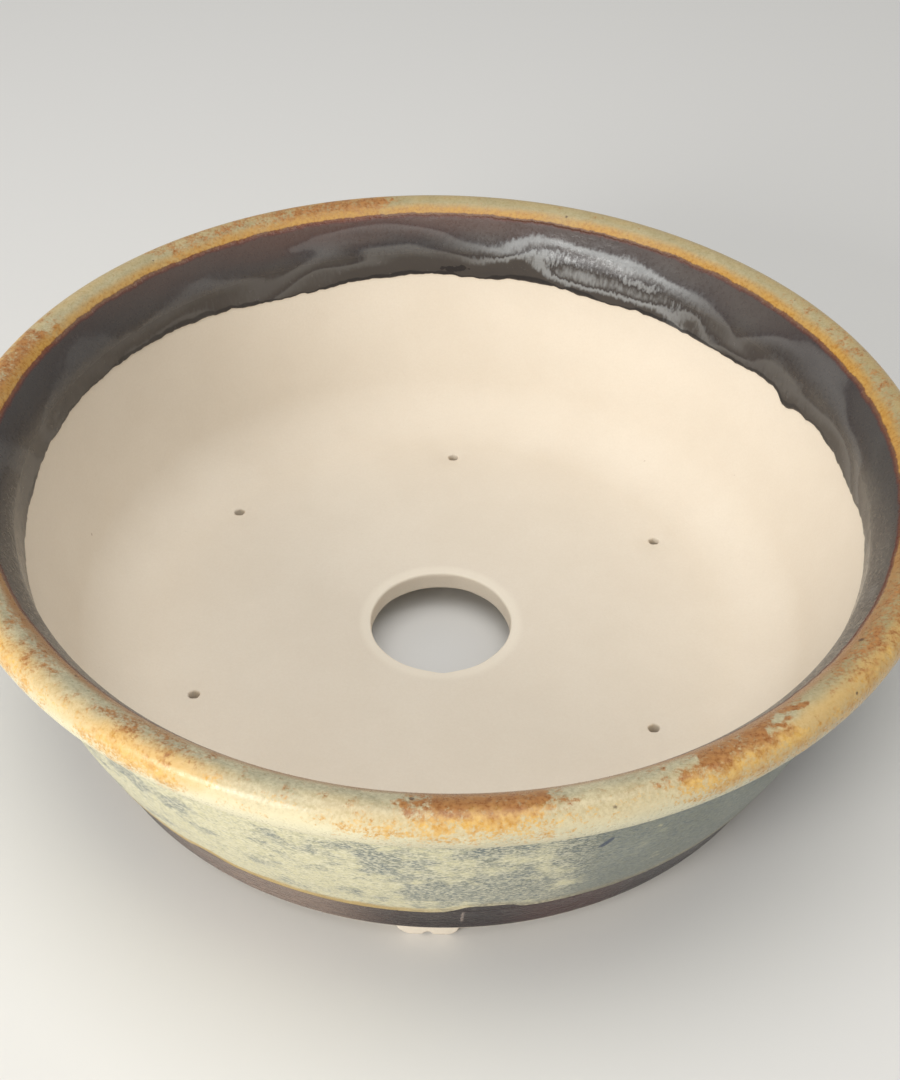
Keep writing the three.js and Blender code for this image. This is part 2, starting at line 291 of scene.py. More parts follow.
class Nodes:
    """Adds nodes to one tree. An input takes either a plain value or another node's output socket."""

    def __init__(self, tree):
        self.tree = tree

    def put(self, socket, value):
        if isinstance(value, bpy.types.NodeSocket):
            self.tree.links.new(value, socket)
        else:
            socket.default_value = value

    def add(self, kind, inputs=None, **settings):
        node = self.tree.nodes.new(kind)
        for name, value in settings.items():
            setattr(node, name, value)
        for name, value in (inputs or {}).items():
            self.put(node.inputs[name], value)
        return node

    def math(self, operation, *values):
        node = self.add("ShaderNodeMath", operation=operation)
        for socket, value in zip(node.inputs, values):
            self.put(socket, value)
        return node.outputs[0]

    def vector(self, operation, *values):
        node = self.add("ShaderNodeVectorMath", operation=operation)
        for socket, value in zip(node.inputs, values):
            self.put(socket, value)
        return node.outputs[0]

    def plus(self, first, second):
        return self.math("ADD", first, second)

    def minus(self, first, second):
        return self.math("SUBTRACT", first, second)

    def times(self, first, second):
        return self.math("MULTIPLY", first, second)

    def times_add(self, value, factor, added):
        return self.math("MULTIPLY_ADD", value, factor, added)

    def stretch(self, vector, factors):
        return self.vector("MULTIPLY", vector, factors)

    def combine(self, x, y, z):
        return self.add("ShaderNodeCombineXYZ", {"X": x, "Y": y, "Z": z}).outputs[0]

    def separate(self, vector):
        return self.add("ShaderNodeSeparateXYZ", {"Vector": vector}).outputs

    def fade(self, value, start, end, low=0.0, high=1.0):
        """Goes smoothly from low, at start and before, to high, at end and past it."""
        inputs = {"Value": value, "From Min": start, "From Max": end, "To Min": low, "To Max": high}
        return self.add("ShaderNodeMapRange", inputs, interpolation_type="SMOOTHSTEP").outputs[0]

    def band(self, value, start, full, fall, end):
        """1 from full to fall, and 0 before start and past end."""
        rise = self.fade(value, start, full)
        drop = self.fade(value, fall, end, 1.0, 0.0)
        return self.times(rise, drop)

    def blend(self, share, first, second):
        """First colour where share is 0, second where it is 1."""
        node = self.add("ShaderNodeMix", data_type="RGBA")
        self.put(node.inputs[0], share)
        self.put(node.inputs[6], first)
        self.put(node.inputs[7], second)
        return node.outputs[2]

    def noise(self, place, scale, seed=0.0, detail=3.0, roughness=0.5, distortion=0.0):
        inputs = {
            "Vector": place, "W": seed, "Scale": scale, "Detail": detail,
            "Roughness": roughness, "Distortion": distortion,
        }
        return self.add("ShaderNodeTexNoise", inputs, noise_dimensions="4D").outputs[0]

    def run(self, turn, points, low=0.0, high=1.0):
        """A value that runs round the pot as a list of (degrees, value) says, from 0 at low to 1 at high."""
        node = self.add("ShaderNodeFloatCurve", {"Value": turn})
        curve = node.mapping.curves[0]
        for degrees, value in points[1:-1]:
            curve.points.new(degrees / 360 + 0.5, share_of(value, low, high))
        curve.points[0].location = (0, share_of(points[0][1], low, high))
        curve.points[-1].location = (1, share_of(points[-1][1], low, high))
        for point in curve.points:
            point.handle_type = "AUTO_CLAMPED"
        node.mapping.update()
        return node.outputs[0]

    def ramp(self, value, stops):
        """Colours from a list of (position, colour)."""
        node = self.add("ShaderNodeValToRGB", {"Fac": value})
        elements = node.color_ramp.elements
        for position, colour in stops[1:-1]:
            elements.new(position).color = colour
        elements[0].position, elements[0].color = stops[0]
        elements[-1].position, elements[-1].color = stops[-1]
        return node.outputs[0]


# Camera, floor and light

CAMERA_PLACE = Vector((0, -0.45709, 0.46458))
CAMERA_YAW = math.radians(0.3438)
CAMERA_PITCH = math.radians(41.3167)
CAMERA_ROLL = math.radians(1.6983)
CAMERA_LENS = 52.82
CAMERA_SENSOR = 36
CAMERA_NEAR = 0.01

# Soft lights: name, degrees round the pot, elevation, distance and width in metres, watts and colour
LIGHTS = [
    ("window", -130, 21, 1.6, 0.6, 16.5, (1.0, 0.985, 0.96)),
    ("overhead", -120, 80, 1.6, 1.4, 14, (1.0, 0.99, 0.97)),
]
LIGHT_AIM = Vector((0, 0, 0.05))
STUDIO_AIR = (0.9, 0.92, 0.94, 1)
STUDIO_AIR_STRENGTH = 0.47
STUDIO_FLOOR_HALF = 1.6
STUDIO_FLOOR_COLOUR = (222, 220, 216)
STUDIO_FLOOR_ROUGHNESS = 0.75


def make_camera():
    """Camera that looks down into the pot from the front."""
    ahead = Vector((
        math.sin(CAMERA_YAW) * math.cos(CAMERA_PITCH),
        math.cos(CAMERA_YAW) * math.cos(CAMERA_PITCH),
        -math.sin(CAMERA_PITCH),
    ))
    level_right = Vector((math.cos(CAMERA_YAW), -math.sin(CAMERA_YAW), 0))
    level_up = level_right.cross(ahead)
    right = level_right * math.cos(CAMERA_ROLL) + level_up * math.sin(CAMERA_ROLL)
    up = level_up * math.cos(CAMERA_ROLL) - level_right * math.sin(CAMERA_ROLL)
    camera = bpy.data.objects.new("camera", bpy.data.cameras.new("camera"))
    facing = Matrix((right, up, -ahead)).transposed().to_4x4()
    camera.matrix_world = Matrix.Translation(CAMERA_PLACE) @ facing
    camera.data.lens = CAMERA_LENS
    camera.data.sensor_width = CAMERA_SENSOR
    camera.data.clip_start = CAMERA_NEAR
    bpy.context.scene.collection.objects.link(camera)
    bpy.context.scene.camera = camera


def soft_light(name, degrees, elevation, distance, size, watts, colour):
    """Square soft light aimed at the middle of the pot."""
    lamp = bpy.data.lights.new(name, "AREA")
    lamp.shape = "SQUARE"
    lamp.size = size
    lamp.energy = watts
    lamp.color = colour
    turn, tilt = math.radians(degrees), math.radians(elevation)
    away = Vector((math.cos(turn) * math.cos(tilt), math.sin(turn) * math.cos(tilt), math.sin(tilt)))
    facing = away.to_track_quat("Z", "Y").to_matrix().to_4x4()
    light = bpy.data.objects.new(name, lamp)
    light.matrix_world = Matrix.Translation(LIGHT_AIM + away * distance) @ facing
    bpy.context.scene.collection.objects.link(light)


def make_studio():
    """Lights, and the even air of the studio."""
    for light in LIGHTS:
        soft_light(*light)
    world = bpy.data.worlds.new("studio")
    world.use_nodes = True
    background = world.node_tree.nodes["Background"]
    background.inputs["Color"].default_value = STUDIO_AIR
    background.inputs["Strength"].default_value = STUDIO_AIR_STRENGTH
    bpy.context.scene.world = world
    bpy.context.scene.view_settings.view_transform = "Standard"


def make_floor():
    """Plain pale floor that the pot stands on."""
    half = STUDIO_FLOOR_HALF
    corners = [(-half, -half, 0), (half, -half, 0), (half, half, 0), (-half, half, 0)]
    mesh = bpy.data.meshes.new("studio_floor")
    mesh.from_pydata(corners, [], [(0, 1, 2, 3)])
    floor = link_object("studio_floor", mesh)
    material, nodes, shader = new_finish("studio_floor")
    nodes.put(shader.inputs["Base Color"], paint(*STUDIO_FLOOR_COLOUR))
    nodes.put(shader.inputs["Roughness"], STUDIO_FLOOR_ROUGHNESS)
    mesh.materials.append(material)


# Shader node groups

def new_group(name, inputs, outputs):
    """Empty shader node group: its Nodes, the sockets that bring its inputs in, and its output node."""
    tree = bpy.data.node_groups.new(name, "ShaderNodeTree")
    for label, kind in inputs:
        tree.interface.new_socket(label, in_out="INPUT", socket_type=kind)
    for label, kind in outputs:
        tree.interface.new_socket(label, in_out="OUTPUT", socket_type=kind)
    entry = tree.nodes.new("NodeGroupInput")
    leave = tree.nodes.new("NodeGroupOutput")
    return Nodes(tree), entry.outputs, leave.inputs


NUMBER = "NodeSocketFloat"
VECTOR = "NodeSocketVector"
COLOUR = "NodeSocketColor"


def round_the_pot_group():
    """Where a point is: Place in millimetres, Turn round the pot from 0 to 1, Height and Radius."""
    outputs = [("Place", VECTOR), ("Turn", NUMBER), ("Height", NUMBER), ("Radius", NUMBER)]
    nodes, _, out = new_group("round_the_pot", [], outputs)
    here = nodes.add("ShaderNodeTexCoord").outputs["Object"]
    place = nodes.stretch(here, (1 / MM, 1 / MM, 1 / MM))
    x, y, z = nodes.separate(place)
    angle = nodes.math("ARCTAN2", y, x)
    turn = nodes.times_add(angle, 1 / math.tau, 0.5)
    squares = nodes.plus(nodes.times(x, x), nodes.times(y, y))
    nodes.put(out["Place"], place)
    nodes.put(out["Turn"], turn)
    nodes.put(out["Height"], z)
    nodes.put(out["Radius"], nodes.math("SQRT", squares))
    return nodes.tree


def mottle_group():
    """Cloudy mask. Grain is the clouds' size in millimetres, Lie how many times longer than high they are."""
    inputs = [("Place", VECTOR), ("Grain", NUMBER), ("Lie", NUMBER), ("Softness", NUMBER), ("Seed", NUMBER)]
    nodes, given, out = new_group("mottle", inputs, [("Mask", NUMBER)])
    flat = nodes.stretch(given["Place"], nodes.combine(1.0, 1.0, given["Lie"]))
    scale = nodes.math("DIVIDE", 1.0, given["Grain"])
    cloud = nodes.noise(flat, scale, given["Seed"], detail=4, roughness=0.6)
    low = nodes.minus(0.5, given["Softness"])
    high = nodes.plus(0.5, given["Softness"])
    nodes.put(out["Mask"], nodes.fade(cloud, low, high))
    return nodes.tree


def specks_group():
    """Scattered dots. Spacing is the distance between possible dots, Size the largest radius, and Share how
    many of the possible dots are there."""
    inputs = [("Place", VECTOR), ("Spacing", NUMBER), ("Size", NUMBER), ("Share", NUMBER)]
    nodes, given, out = new_group("iron_specks", inputs, [("Mask", NUMBER)])
    ragged = nodes.add("ShaderNodeTexNoise", {"Vector": given["Place"], "Scale": 1.6, "Detail": 2.0})
    push = nodes.vector("SUBTRACT", ragged.outputs["Color"], (0.5, 0.5, 0.5))
    place = nodes.vector("ADD", given["Place"], nodes.stretch(push, (0.7, 0.7, 0.7)))
    scale = nodes.math("DIVIDE", 1.0, given["Spacing"])
    cells = nodes.add("ShaderNodeTexVoronoi", {"Vector": place, "Scale": scale})
    chance, size, _ = nodes.separate(cells.outputs["Color"])
    reach = nodes.times(nodes.math("DIVIDE", given["Size"], given["Spacing"]), size)
    inner = nodes.times(reach, 0.5)
    dot = nodes.fade(cells.outputs["Distance"], inner, reach, 1.0, 0.0)
    chosen = nodes.math("LESS_THAN", chance, given["Share"])
    nodes.put(out["Mask"], nodes.times(dot, chosen))
    return nodes.tree


def tongue_colour(nodes, place, contour):
    """Dark glaze run in tongues: pale along their backs, with dark outlines, and clouded."""
    colour = nodes.ramp(contour, [
        (0.0, paint(62, 57, 54)), (0.36, paint(72, 67, 63)), (0.44, paint(91, 87, 83)),
        (0.456, paint(58, 53, 52)), (0.51, paint(74, 69, 65)), (0.58, paint(91, 87, 84)),
        (0.6, paint(85, 81, 78)), (0.618, paint(60, 54, 53)), (0.68, paint(72, 67, 64)),
        (0.8, paint(82, 78, 74)), (1.0, paint(70, 64, 60)),
    ])
    drift = nodes.noise(place, 1 / 22, 5.0, detail=3)
    return nodes.blend(nodes.fade(drift, 0.45, 0.75, 0.0, 0.4), colour, paint(62, 55, 55))


def warm_top(nodes, lying, height, side, behind):
    """How rusty the mouth glaze is where it thins at the top, which is mostly at the back on the left."""
    thin = nodes.noise(lying, 1 / 30, 8.0, detail=3)
    warm_height = nodes.times_add(thin, 14.0, height)
    warm_side = nodes.times(behind, nodes.fade(side, 0.0, 75.0, 1.0, 0.25))
    return nodes.times(nodes.fade(warm_height, 105.0, 118.0, 0.0, 0.46), warm_side)


def highlight_tongues(nodes, place, contour, thick):
    """How much painted silver highlight lies on the mouth glaze: feathered tongues where it lies thick, a
    trace elsewhere.
    """
    feathers = nodes.noise(nodes.stretch(place, (1.0, 1.0, 0.35)), 1 / 1.3, 13.0, detail=3)
    veil = nodes.times_add(feathers, 0.15, contour)
    upper = nodes.band(veil, 0.54, 0.64, 0.655, 0.73)
    lower = nodes.band(veil, 0.44, 0.505, 0.515, 0.55)
    return nodes.times(nodes.math("MAXIMUM", upper, lower), nodes.times_add(thick, 0.62, 0.06))


def mouth_glaze_group():
    """The dark glaze inside the mouth: tongues with dark outlines, rusty where it thins at the top, with a
    painted silver highlight at the back right and painted shade on its flanks.
    """
    inputs = [("Place", VECTOR), ("Height", NUMBER)]
    outputs = [("Colour", COLOUR), ("Roughness", NUMBER), ("Relief", NUMBER)]
    nodes, given, out = new_group("mouth_glaze", inputs, outputs)
    place = given["Place"]
    side, depth, _ = nodes.separate(place)
    behind = nodes.fade(depth, 10.0, 110.0)
    lying = nodes.stretch(place, (1.0, 1.0, 2.4))
    tongues = nodes.noise(lying, 1 / 58, 3.0, detail=1.6, roughness=0.4, distortion=0.7)
    climb = nodes.times_add(given["Height"], 1 / 70, -1.3)
    contour = nodes.plus(tongues, climb)
    colour = tongue_colour(nodes, place, contour)
    warm = warm_top(nodes, lying, given["Height"], side, behind)
    colour = nodes.blend(warm, colour, paint(104, 62, 44))
    colour = nodes.blend(nodes.fade(side, -30.0, -115.0, 0.0, 0.5), colour, paint(76, 70, 65))
    # Painted shade: the mouth glaze is darkened towards its left and right sides.
    flank_shade = nodes.fade(nodes.math("ABSOLUTE", side), 95.0, 160.0, 0.0, 0.35)
    colour = nodes.blend(flank_shade, colour, paint(48, 44, 41))
    thick = nodes.times(nodes.band(side, 0.0, 34.0, 84.0, 118.0), behind)
    # Painted highlight: pale silver-grey tongues at the back right stand in for the window's reflection in the
    # glaze.
    painted_silver_highlight = highlight_tongues(nodes, place, contour, thick)
    nodes.put(out["Colour"], nodes.blend(painted_silver_highlight, colour, paint(160, 162, 162)))
    satin = nodes.noise(place, 1 / 3, 11.0, detail=4)
    nodes.put(out["Roughness"], nodes.fade(satin, 0.3, 0.8, 0.16, 0.3))
    runs = nodes.noise(nodes.stretch(place, (1.0, 1.0, 1.5)), 1 / 13, 12.0, detail=1.5, roughness=0.4)
    relief = nodes.times(runs, nodes.times_add(thick, 5.0, 3.0))
    relief = nodes.times_add(contour, 2.2, nodes.times_add(satin, 0.25, relief))
    nodes.put(out["Relief"], relief)
    return nodes.tree


GROUPS = {
    "place": round_the_pot_group(),
    "mottle": mottle_group(),
    "specks": specks_group(),
    "mouth": mouth_glaze_group(),
}


# Finishes

def new_finish(name):
    """New material: the material, its Nodes and its Principled shader."""
    material = bpy.data.materials.new(name)
    material.use_nodes = True
    tree = material.node_tree
    return material, Nodes(tree), tree.nodes["Principled BSDF"]


def use_group(nodes, name, **inputs):
    """Places one of the shared groups and returns its outputs."""
    node = nodes.add("ShaderNodeGroup", node_tree=GROUPS[name])
    for label, value in inputs.items():
        nodes.put(node.inputs[label], value)
    return node.outputs


def mottle(nodes, place, grain, lie, softness, seed):
    """Cloudy mask from the shared group."""
    return use_group(nodes, "mottle", Place=place, Grain=grain, Lie=lie, Softness=softness, Seed=seed)["Mask"]


def dots(nodes, place, spacing, size, share):
    """Mask of scattered dots from the shared group."""
    return use_group(nodes, "specks", Place=place, Spacing=spacing, Size=size, Share=share)["Mask"]


def degrees_round(nodes, where):
    """Degrees round the pot, -180 to 180."""
    return nodes.times_add(where["Turn"], 360.0, -180.0)


def past_edge(nodes):
    """How far a point of a wall lies past the nearest glaze edge, in millimetres."""
    return nodes.add("ShaderNodeAttribute", attribute_name="past_edge").outputs["Fac"]


def raise_surface(nodes, shader, height, depth):
    """Small relief, depth in millimetres for a height of 1."""
    bump = nodes.add("ShaderNodeBump", {"Height": height, "Distance": depth * MM, "Strength": 1.0})
    nodes.put(shader.inputs["Normal"], bump.outputs[0])


def clay_finish():
    """Bare, smoothed stoneware: warm cream, faintly clouded, with fine grog, a few tiny iron specks and a
    painted highlight round the drain hole's lip.
    """
    material, nodes, shader = new_finish("bare_clay")
    where = use_group(nodes, "place")
    place = where["Place"]
    clouds = mottle(nodes, place, grain=45.0, lie=1.0, softness=0.3, seed=1.0)
    grains = mottle(nodes, place, grain=0.9, lie=1.0, softness=0.25, seed=2.0)
    specks = dots(nodes, place, spacing=11.0, size=0.7, share=0.3)
    pores = dots(nodes, place, spacing=5.0, size=0.5, share=0.2)
    colour = nodes.blend(clouds, paint(226, 214, 196), paint(232, 221, 204))
    colour = nodes.blend(nodes.times(grains, 0.16), colour, paint(212, 195, 172))
    # Painted highlight: a pale ring on and round the drain hole's rounded lip.
    lip_highlight_places = [DRAIN_RADIUS + past for past in (-0.1, 0.5, 2.6, 6.0)]
    lip = nodes.band(where["Radius"], *lip_highlight_places)
    colour = nodes.blend(nodes.times(lip, 0.55), colour, paint(242, 232, 214))
    colour = nodes.blend(nodes.times(specks, 0.4), colour, paint(150, 120, 92))
    nodes.put(shader.inputs["Base Color"], colour)
    nodes.put(shader.inputs["Roughness"], nodes.fade(grains, 0.0, 1.0, 0.8, 0.92))
    nodes.put(shader.inputs["Specular IOR Level"], 0.3)
    relief = nodes.times_add(pores, -1.2, nodes.times(grains, 0.5))
    raise_surface(nodes, shader, relief, 0.05)
    return material


def mouth_finish():
    """The mouth glaze on the wall, with a dark bead where its edge has drawn back and gathered."""
    material, nodes, shader = new_finish("mouth_glaze")
    where = use_group(nodes, "place")
    glaze = use_group(nodes, "mouth", Place=where["Place"], Height=where["Height"])
    edge = past_edge(nodes)
    gather = nodes.noise(where["Place"], 1 / 16, 21.0, detail=2)
    bead_width = nodes.fade(gather, 0.35, 0.7, 0.9, 3.2)
    distance = nodes.math("DIVIDE", edge, bead_width)
    curl = dark_curl(nodes, where)
    bead = nodes.band(distance, 0.1, 0.35, 0.75, 1.1)
    fringe = nodes.fade(edge, 0.15, 0.5, 1.0, 0.0)
    colour = nodes.blend(nodes.times(bead, 0.75), glaze["Colour"], paint(34, 32, 34))
    colour = nodes.blend(nodes.times(fringe, 0.6), colour, paint(84, 64, 44))
    colour = nodes.blend(curl, colour, paint(36, 33, 35))
    nodes.put(shader.inputs["Base Color"], colour)
    nodes.put(shader.inputs["Roughness"], glaze["Roughness"])
    nodes.put(shader.inputs["Specular IOR Level"], 0.4)
    raise_surface(nodes, shader, glaze["Relief"], 0.12)
    return material


def spot_spread(nodes, where, degrees, height, radius, reach, lean):
    """Squared distance from a spot on the wall, 1 at its edge. Reach is its half length and half width."""
    around = nodes.times_add(where["Turn"], math.tau * radius, -(degrees / 360 + 0.5) * math.tau * radius)
    above = nodes.minus(where["Height"], height)
    cosine, sine = math.cos(math.radians(lean)), math.sin(math.radians(lean))
    long_way = nodes.times_add(around, cosine, nodes.times(above, sine))
    short_way = nodes.times_add(around, -sine, nodes.times(above, cosine))
    long_part = nodes.math("POWER", nodes.math("DIVIDE", long_way, reach[0]), 2.0)
    short_part = nodes.math("POWER", nodes.math("DIVIDE", short_way, reach[1]), 2.0)
    return nodes.plus(long_part, short_part)


def dark_curl(nodes, where):
    """Ragged dark curl where the mouth glaze has crawled, at the back of the pot."""
    spread = spot_spread(nodes, where, degrees=89, height=88.6, radius=156, reach=(8.5, 1.6), lean=-4)
    ragged = nodes.noise(where["Place"], 1 / 2.4, 22.0, detail=3, roughness=0.6)
    return nodes.fade(nodes.times_add(ragged, 4.2, spread), 2.5, 2.9, 0.85, 0.0)


def section_angle(nodes, where):
    """Degrees round the rim's oval: about 0 at the lower lip, 90 at the outer top and 180 at the inside."""
    across = nodes.minus(where["Radius"], RIM_CENTRE.x)
    up = nodes.minus(where["Height"], RIM_CENTRE.y)
    down_x = nodes.times(across, LEAN_DOWN.x / RIM_HALF_DEPTH)
    down = nodes.times_add(up, LEAN_DOWN.y / RIM_HALF_DEPTH, down_x)
    out_x = nodes.times(across, LEAN_OUT.x / RIM_HALF_WIDTH)
    out = nodes.times_add(up, LEAN_OUT.y / RIM_HALF_WIDTH, out_x)
    degrees = nodes.math("DEGREES", nodes.math("ARCTAN2", out, down))
    wrapped = nodes.math("LESS_THAN", degrees, -100.0)
    return nodes.times_add(wrapped, 360.0, degrees)


def rust_mask(nodes, where, angle):
    """Where the rim has gone rusty: patches with ragged ends and crumbled edges."""
    place = where["Place"]
    drift = nodes.noise(place, 1 / 9, 31.0, detail=3, roughness=0.6)
    turn = nodes.plus(where["Turn"], nodes.times_add(drift, 0.06, -0.03))
    outside = nodes.run(turn, RUST_OUTSIDE)
    inside = nodes.run(turn, RUST_INSIDE)
    half_way = nodes.times_add(drift, 50.0, angle)
    half = nodes.fade(half_way, 85.0, 125.0)
    amount = nodes.plus(outside, nodes.times(half, nodes.minus(inside, outside)))
    crumbs = nodes.noise(place, 1 / 1.1, 33.0, detail=3, roughness=0.7)
    patches = nodes.noise(place, 1 / 5, 34.0, detail=4, roughness=0.65)
    crumble = nodes.times(nodes.minus(crumbs, 0.5), nodes.fade(angle, 70.0, 125.0, 2.5, 1.6))
    cloud = nodes.times_add(patches, 1.8, -0.9)
    level = nodes.plus(amount, nodes.plus(crumble, cloud))
    thick_lip = nodes.fade(angle, 8.0, 55.0, 0.42, 0.0)
    return nodes.fade(nodes.minus(level, thick_lip), 0.26, 0.86)


def rim_celadon(nodes, where, angle, clouds, crumbs):
    """The rim's pale glaze: painted light in pale cream on its outer half, olive on its inner half, with honey
    along the crest.
    """
    place = where["Place"]
    celadon = nodes.blend(clouds, paint(168, 163, 134), paint(204, 196, 162))
    celadon = nodes.blend(nodes.times(crumbs, 0.45), celadon, paint(216, 206, 174))
    moss = mottle(nodes, place, grain=1.1, lie=1.0, softness=0.1, seed=44.0)
    celadon = nodes.blend(nodes.times(moss, 0.3), celadon, paint(128, 116, 84))
    # Painted light: the outer half of the rim is turned pale cream, most at the front left where the window
    # falls.
    outer_half = nodes.fade(nodes.times_add(clouds, 25.0, angle), 60.0, 115.0, 0.8, 0.0)
    cream = nodes.times(outer_half, nodes.run(where["Turn"], LIT_CREAM))
    celadon = nodes.blend(cream, celadon, paint(234, 226, 190))
    inner_half = nodes.fade(nodes.times_add(clouds, 30.0, angle), 80.0, 125.0, 0.0, 0.95)
    olive = nodes.times(inner_half, nodes.run(where["Turn"], OLIVE))
    celadon = nodes.blend(olive, celadon, paint(152, 134, 86))
    smear = nodes.noise(nodes.stretch(place, (1.0, 1.0, 1.6)), 1 / 12, 48.0, detail=3)
    crest = nodes.band(nodes.times_add(smear, 60.0, angle), 65.0, 105.0, 130.0, 170.0)
    honey = nodes.times(crest, nodes.run(where["Turn"], HONEY))
    return nodes.blend(nodes.times(honey, 0.85), celadon, paint(216, 172, 96))


def rim_rust(nodes, place, angle, crumbs):
    """The rim's rust: golden with painted cream highlight speckles on its outer half, and deep brown on its
    inner half.
    """
    embers = mottle(nodes, place, grain=4.0, lie=1.2, softness=0.2, seed=43.0)
    rust = nodes.blend(embers, paint(218, 174, 92), paint(188, 134, 60))
    # Painted highlight: cream speckles over the golden rust.
    rust = nodes.blend(nodes.times(crumbs, 0.45), rust, paint(230, 200, 138))
    brown = nodes.blend(crumbs, paint(132, 77, 36), paint(166, 108, 54))
    deep = nodes.fade(nodes.times_add(embers, 22.0, angle), 88.0, 128.0, 0.0, 0.85)
    return nodes.blend(deep, rust, brown)


def wavered_angle(nodes, place, angle, front):
    """Degrees round the rim's oval, made uneven for the line where the rim glaze ends inside."""
    waver = nodes.noise(place, 1 / 12, 45.0, detail=3, roughness=0.6)
    fray = nodes.noise(place, 1 / 1.8, 46.0, detail=3, roughness=0.6)
    drawn_back = nodes.times_add(front, -11.0, angle)
    return nodes.times_add(waver, 12.0, nodes.times_add(fray, 8.0, drawn_back))


def add_ochre_line(nodes, place, colour, crumbs, line_angle, front):
    """The colour with the ochre line along the inside of the rim, browner at the front."""
    ochre = nodes.blend(crumbs, paint(172, 122, 46), paint(192, 148, 70))
    ochre = nodes.blend(nodes.times(front, 0.75), ochre, paint(140, 98, 70))
    patchy = nodes.fade(nodes.noise(place, 1 / 26, 47.0, detail=3), 0.3, 0.6, 0.55, 1.0)
    line = nodes.band(line_angle, 144.0, 167.0, 172.0, 175.0)
    return nodes.blend(nodes.times(line, patchy), colour, ochre)


def rim_finish():
    """Rim glaze: pale, rust where it is thin, an ochre line inside and the mouth glaze below that."""
    material, nodes, shader = new_finish("rim_glaze")
    where = use_group(nodes, "place")
    place = where["Place"]
    angle = section_angle(nodes, where)
    clouds = mottle(nodes, place, grain=9.0, lie=1.3, softness=0.2, seed=41.0)
    crumbs = mottle(nodes, place, grain=1.5, lie=1.0, softness=0.16, seed=42.0)
    celadon = rim_celadon(nodes, where, angle, clouds, crumbs)
    rust = rim_rust(nodes, place, angle, crumbs)
    colour = nodes.blend(rust_mask(nodes, where, angle), celadon, rust)
    front = nodes.fade(nodes.separate(place)[1], 40.0, -110.0)
    line_angle = wavered_angle(nodes, place, angle, front)
    colour = add_ochre_line(nodes, place, colour, crumbs, line_angle, front)
    glaze = use_group(nodes, "mouth", Place=place, Height=where["Height"])
    mouth = nodes.fade(line_angle, 175.0, 181.0)
    colour = nodes.blend(mouth, colour, glaze["Colour"])
    fringe = nodes.band(line_angle, 171.0, 174.0, 178.0, 185.0)
    colour = nodes.blend(nodes.times(fringe, 0.8), colour, paint(92, 40, 26))
    specks = dots(nodes, place, spacing=7.0, size=1.35, share=0.34)
    specks = nodes.times(specks, nodes.fade(line_angle, 160.0, 172.0, 0.75, 0.0))
    nodes.put(shader.inputs["Base Color"], nodes.blend(specks, colour, paint(64, 40, 26)))
    nodes.put(shader.inputs["Roughness"], nodes.fade(crumbs, 0.0, 1.0, 0.26, 0.4))
    ripple = nodes.times_add(crumbs, 0.35, nodes.times(clouds, 0.6))
    raise_surface(nodes, shader, nodes.times_add(glaze["Relief"], mouth, ripple), 0.1)
    return material


def dark_layer(nodes, where):
    """Dark plum glaze of the foot band, with a painted reflection at the front left: its colour and roughness.
    """
    place = where["Place"]
    clouds = mottle(nodes, place, grain=14.0, lie=2.5, softness=0.25, seed=61.0)
    streaks = mottle(nodes, place, grain=5.0, lie=5.0, softness=0.2, seed=62.0)
    colour = nodes.blend(clouds, paint(24, 17, 21), paint(38, 27, 31))
    colour = nodes.blend(nodes.times(streaks, 0.22), colour, paint(74, 56, 54))
    degrees = degrees_round(nodes, where)
    # Painted reflection: a pale pinkish patch on the glossy band at the front left, where it mirrors the
    # light.
    painted_reflection = nodes.band(degrees, -140.0, -116.0, -108.0, -92.0)
    painted_reflection = nodes.times(painted_reflection, nodes.fade(streaks, 0.0, 1.0, 0.5, 0.75))
    colour = nodes.blend(painted_reflection, colour, paint(154, 132, 118))
    red = nodes.band(degrees, -83.0, -73.0, -70.0, -57.0)
    colour = nodes.blend(nodes.times(red, 0.35), colour, paint(104, 62, 54))
    ragged = nodes.noise(place, 1 / 1.5, 63.0, detail=3)
    scratch_place = nodes.times_add(ragged, 0.7, degrees)
    scratch = nodes.band(scratch_place, -86.05, -85.85, -85.75, -85.5)
    low = nodes.band(where["Height"], 16.0, 19.0, 27.0, 29.5)
    colour = nodes.blend(nodes.times(nodes.times(scratch, low), 0.45), colour, paint(190, 172, 160))
    specks = dots(nodes, place, spacing=9.0, size=1.0, share=0.25)
    colour = nodes.blend(nodes.times(specks, 0.5), colour, paint(132, 106, 92))
    return colour, nodes.fade(streaks, 0.0, 1.0, 0.2, 0.34), streaks


def band_finish():
    """Glossy dark glaze on the foot band and under the hem of the wall glaze."""
    material, nodes, shader = new_finish("band_glaze")
    where = use_group(nodes, "place")
    colour, roughness, streaks = dark_layer(nodes, where)
    nodes.put(shader.inputs["Base Color"], colour)
    nodes.put(shader.inputs["Roughness"], roughness)
    nodes.put(shader.inputs["Specular IOR Level"], 0.18)
    raise_surface(nodes, shader, streaks, 0.08)
    return material


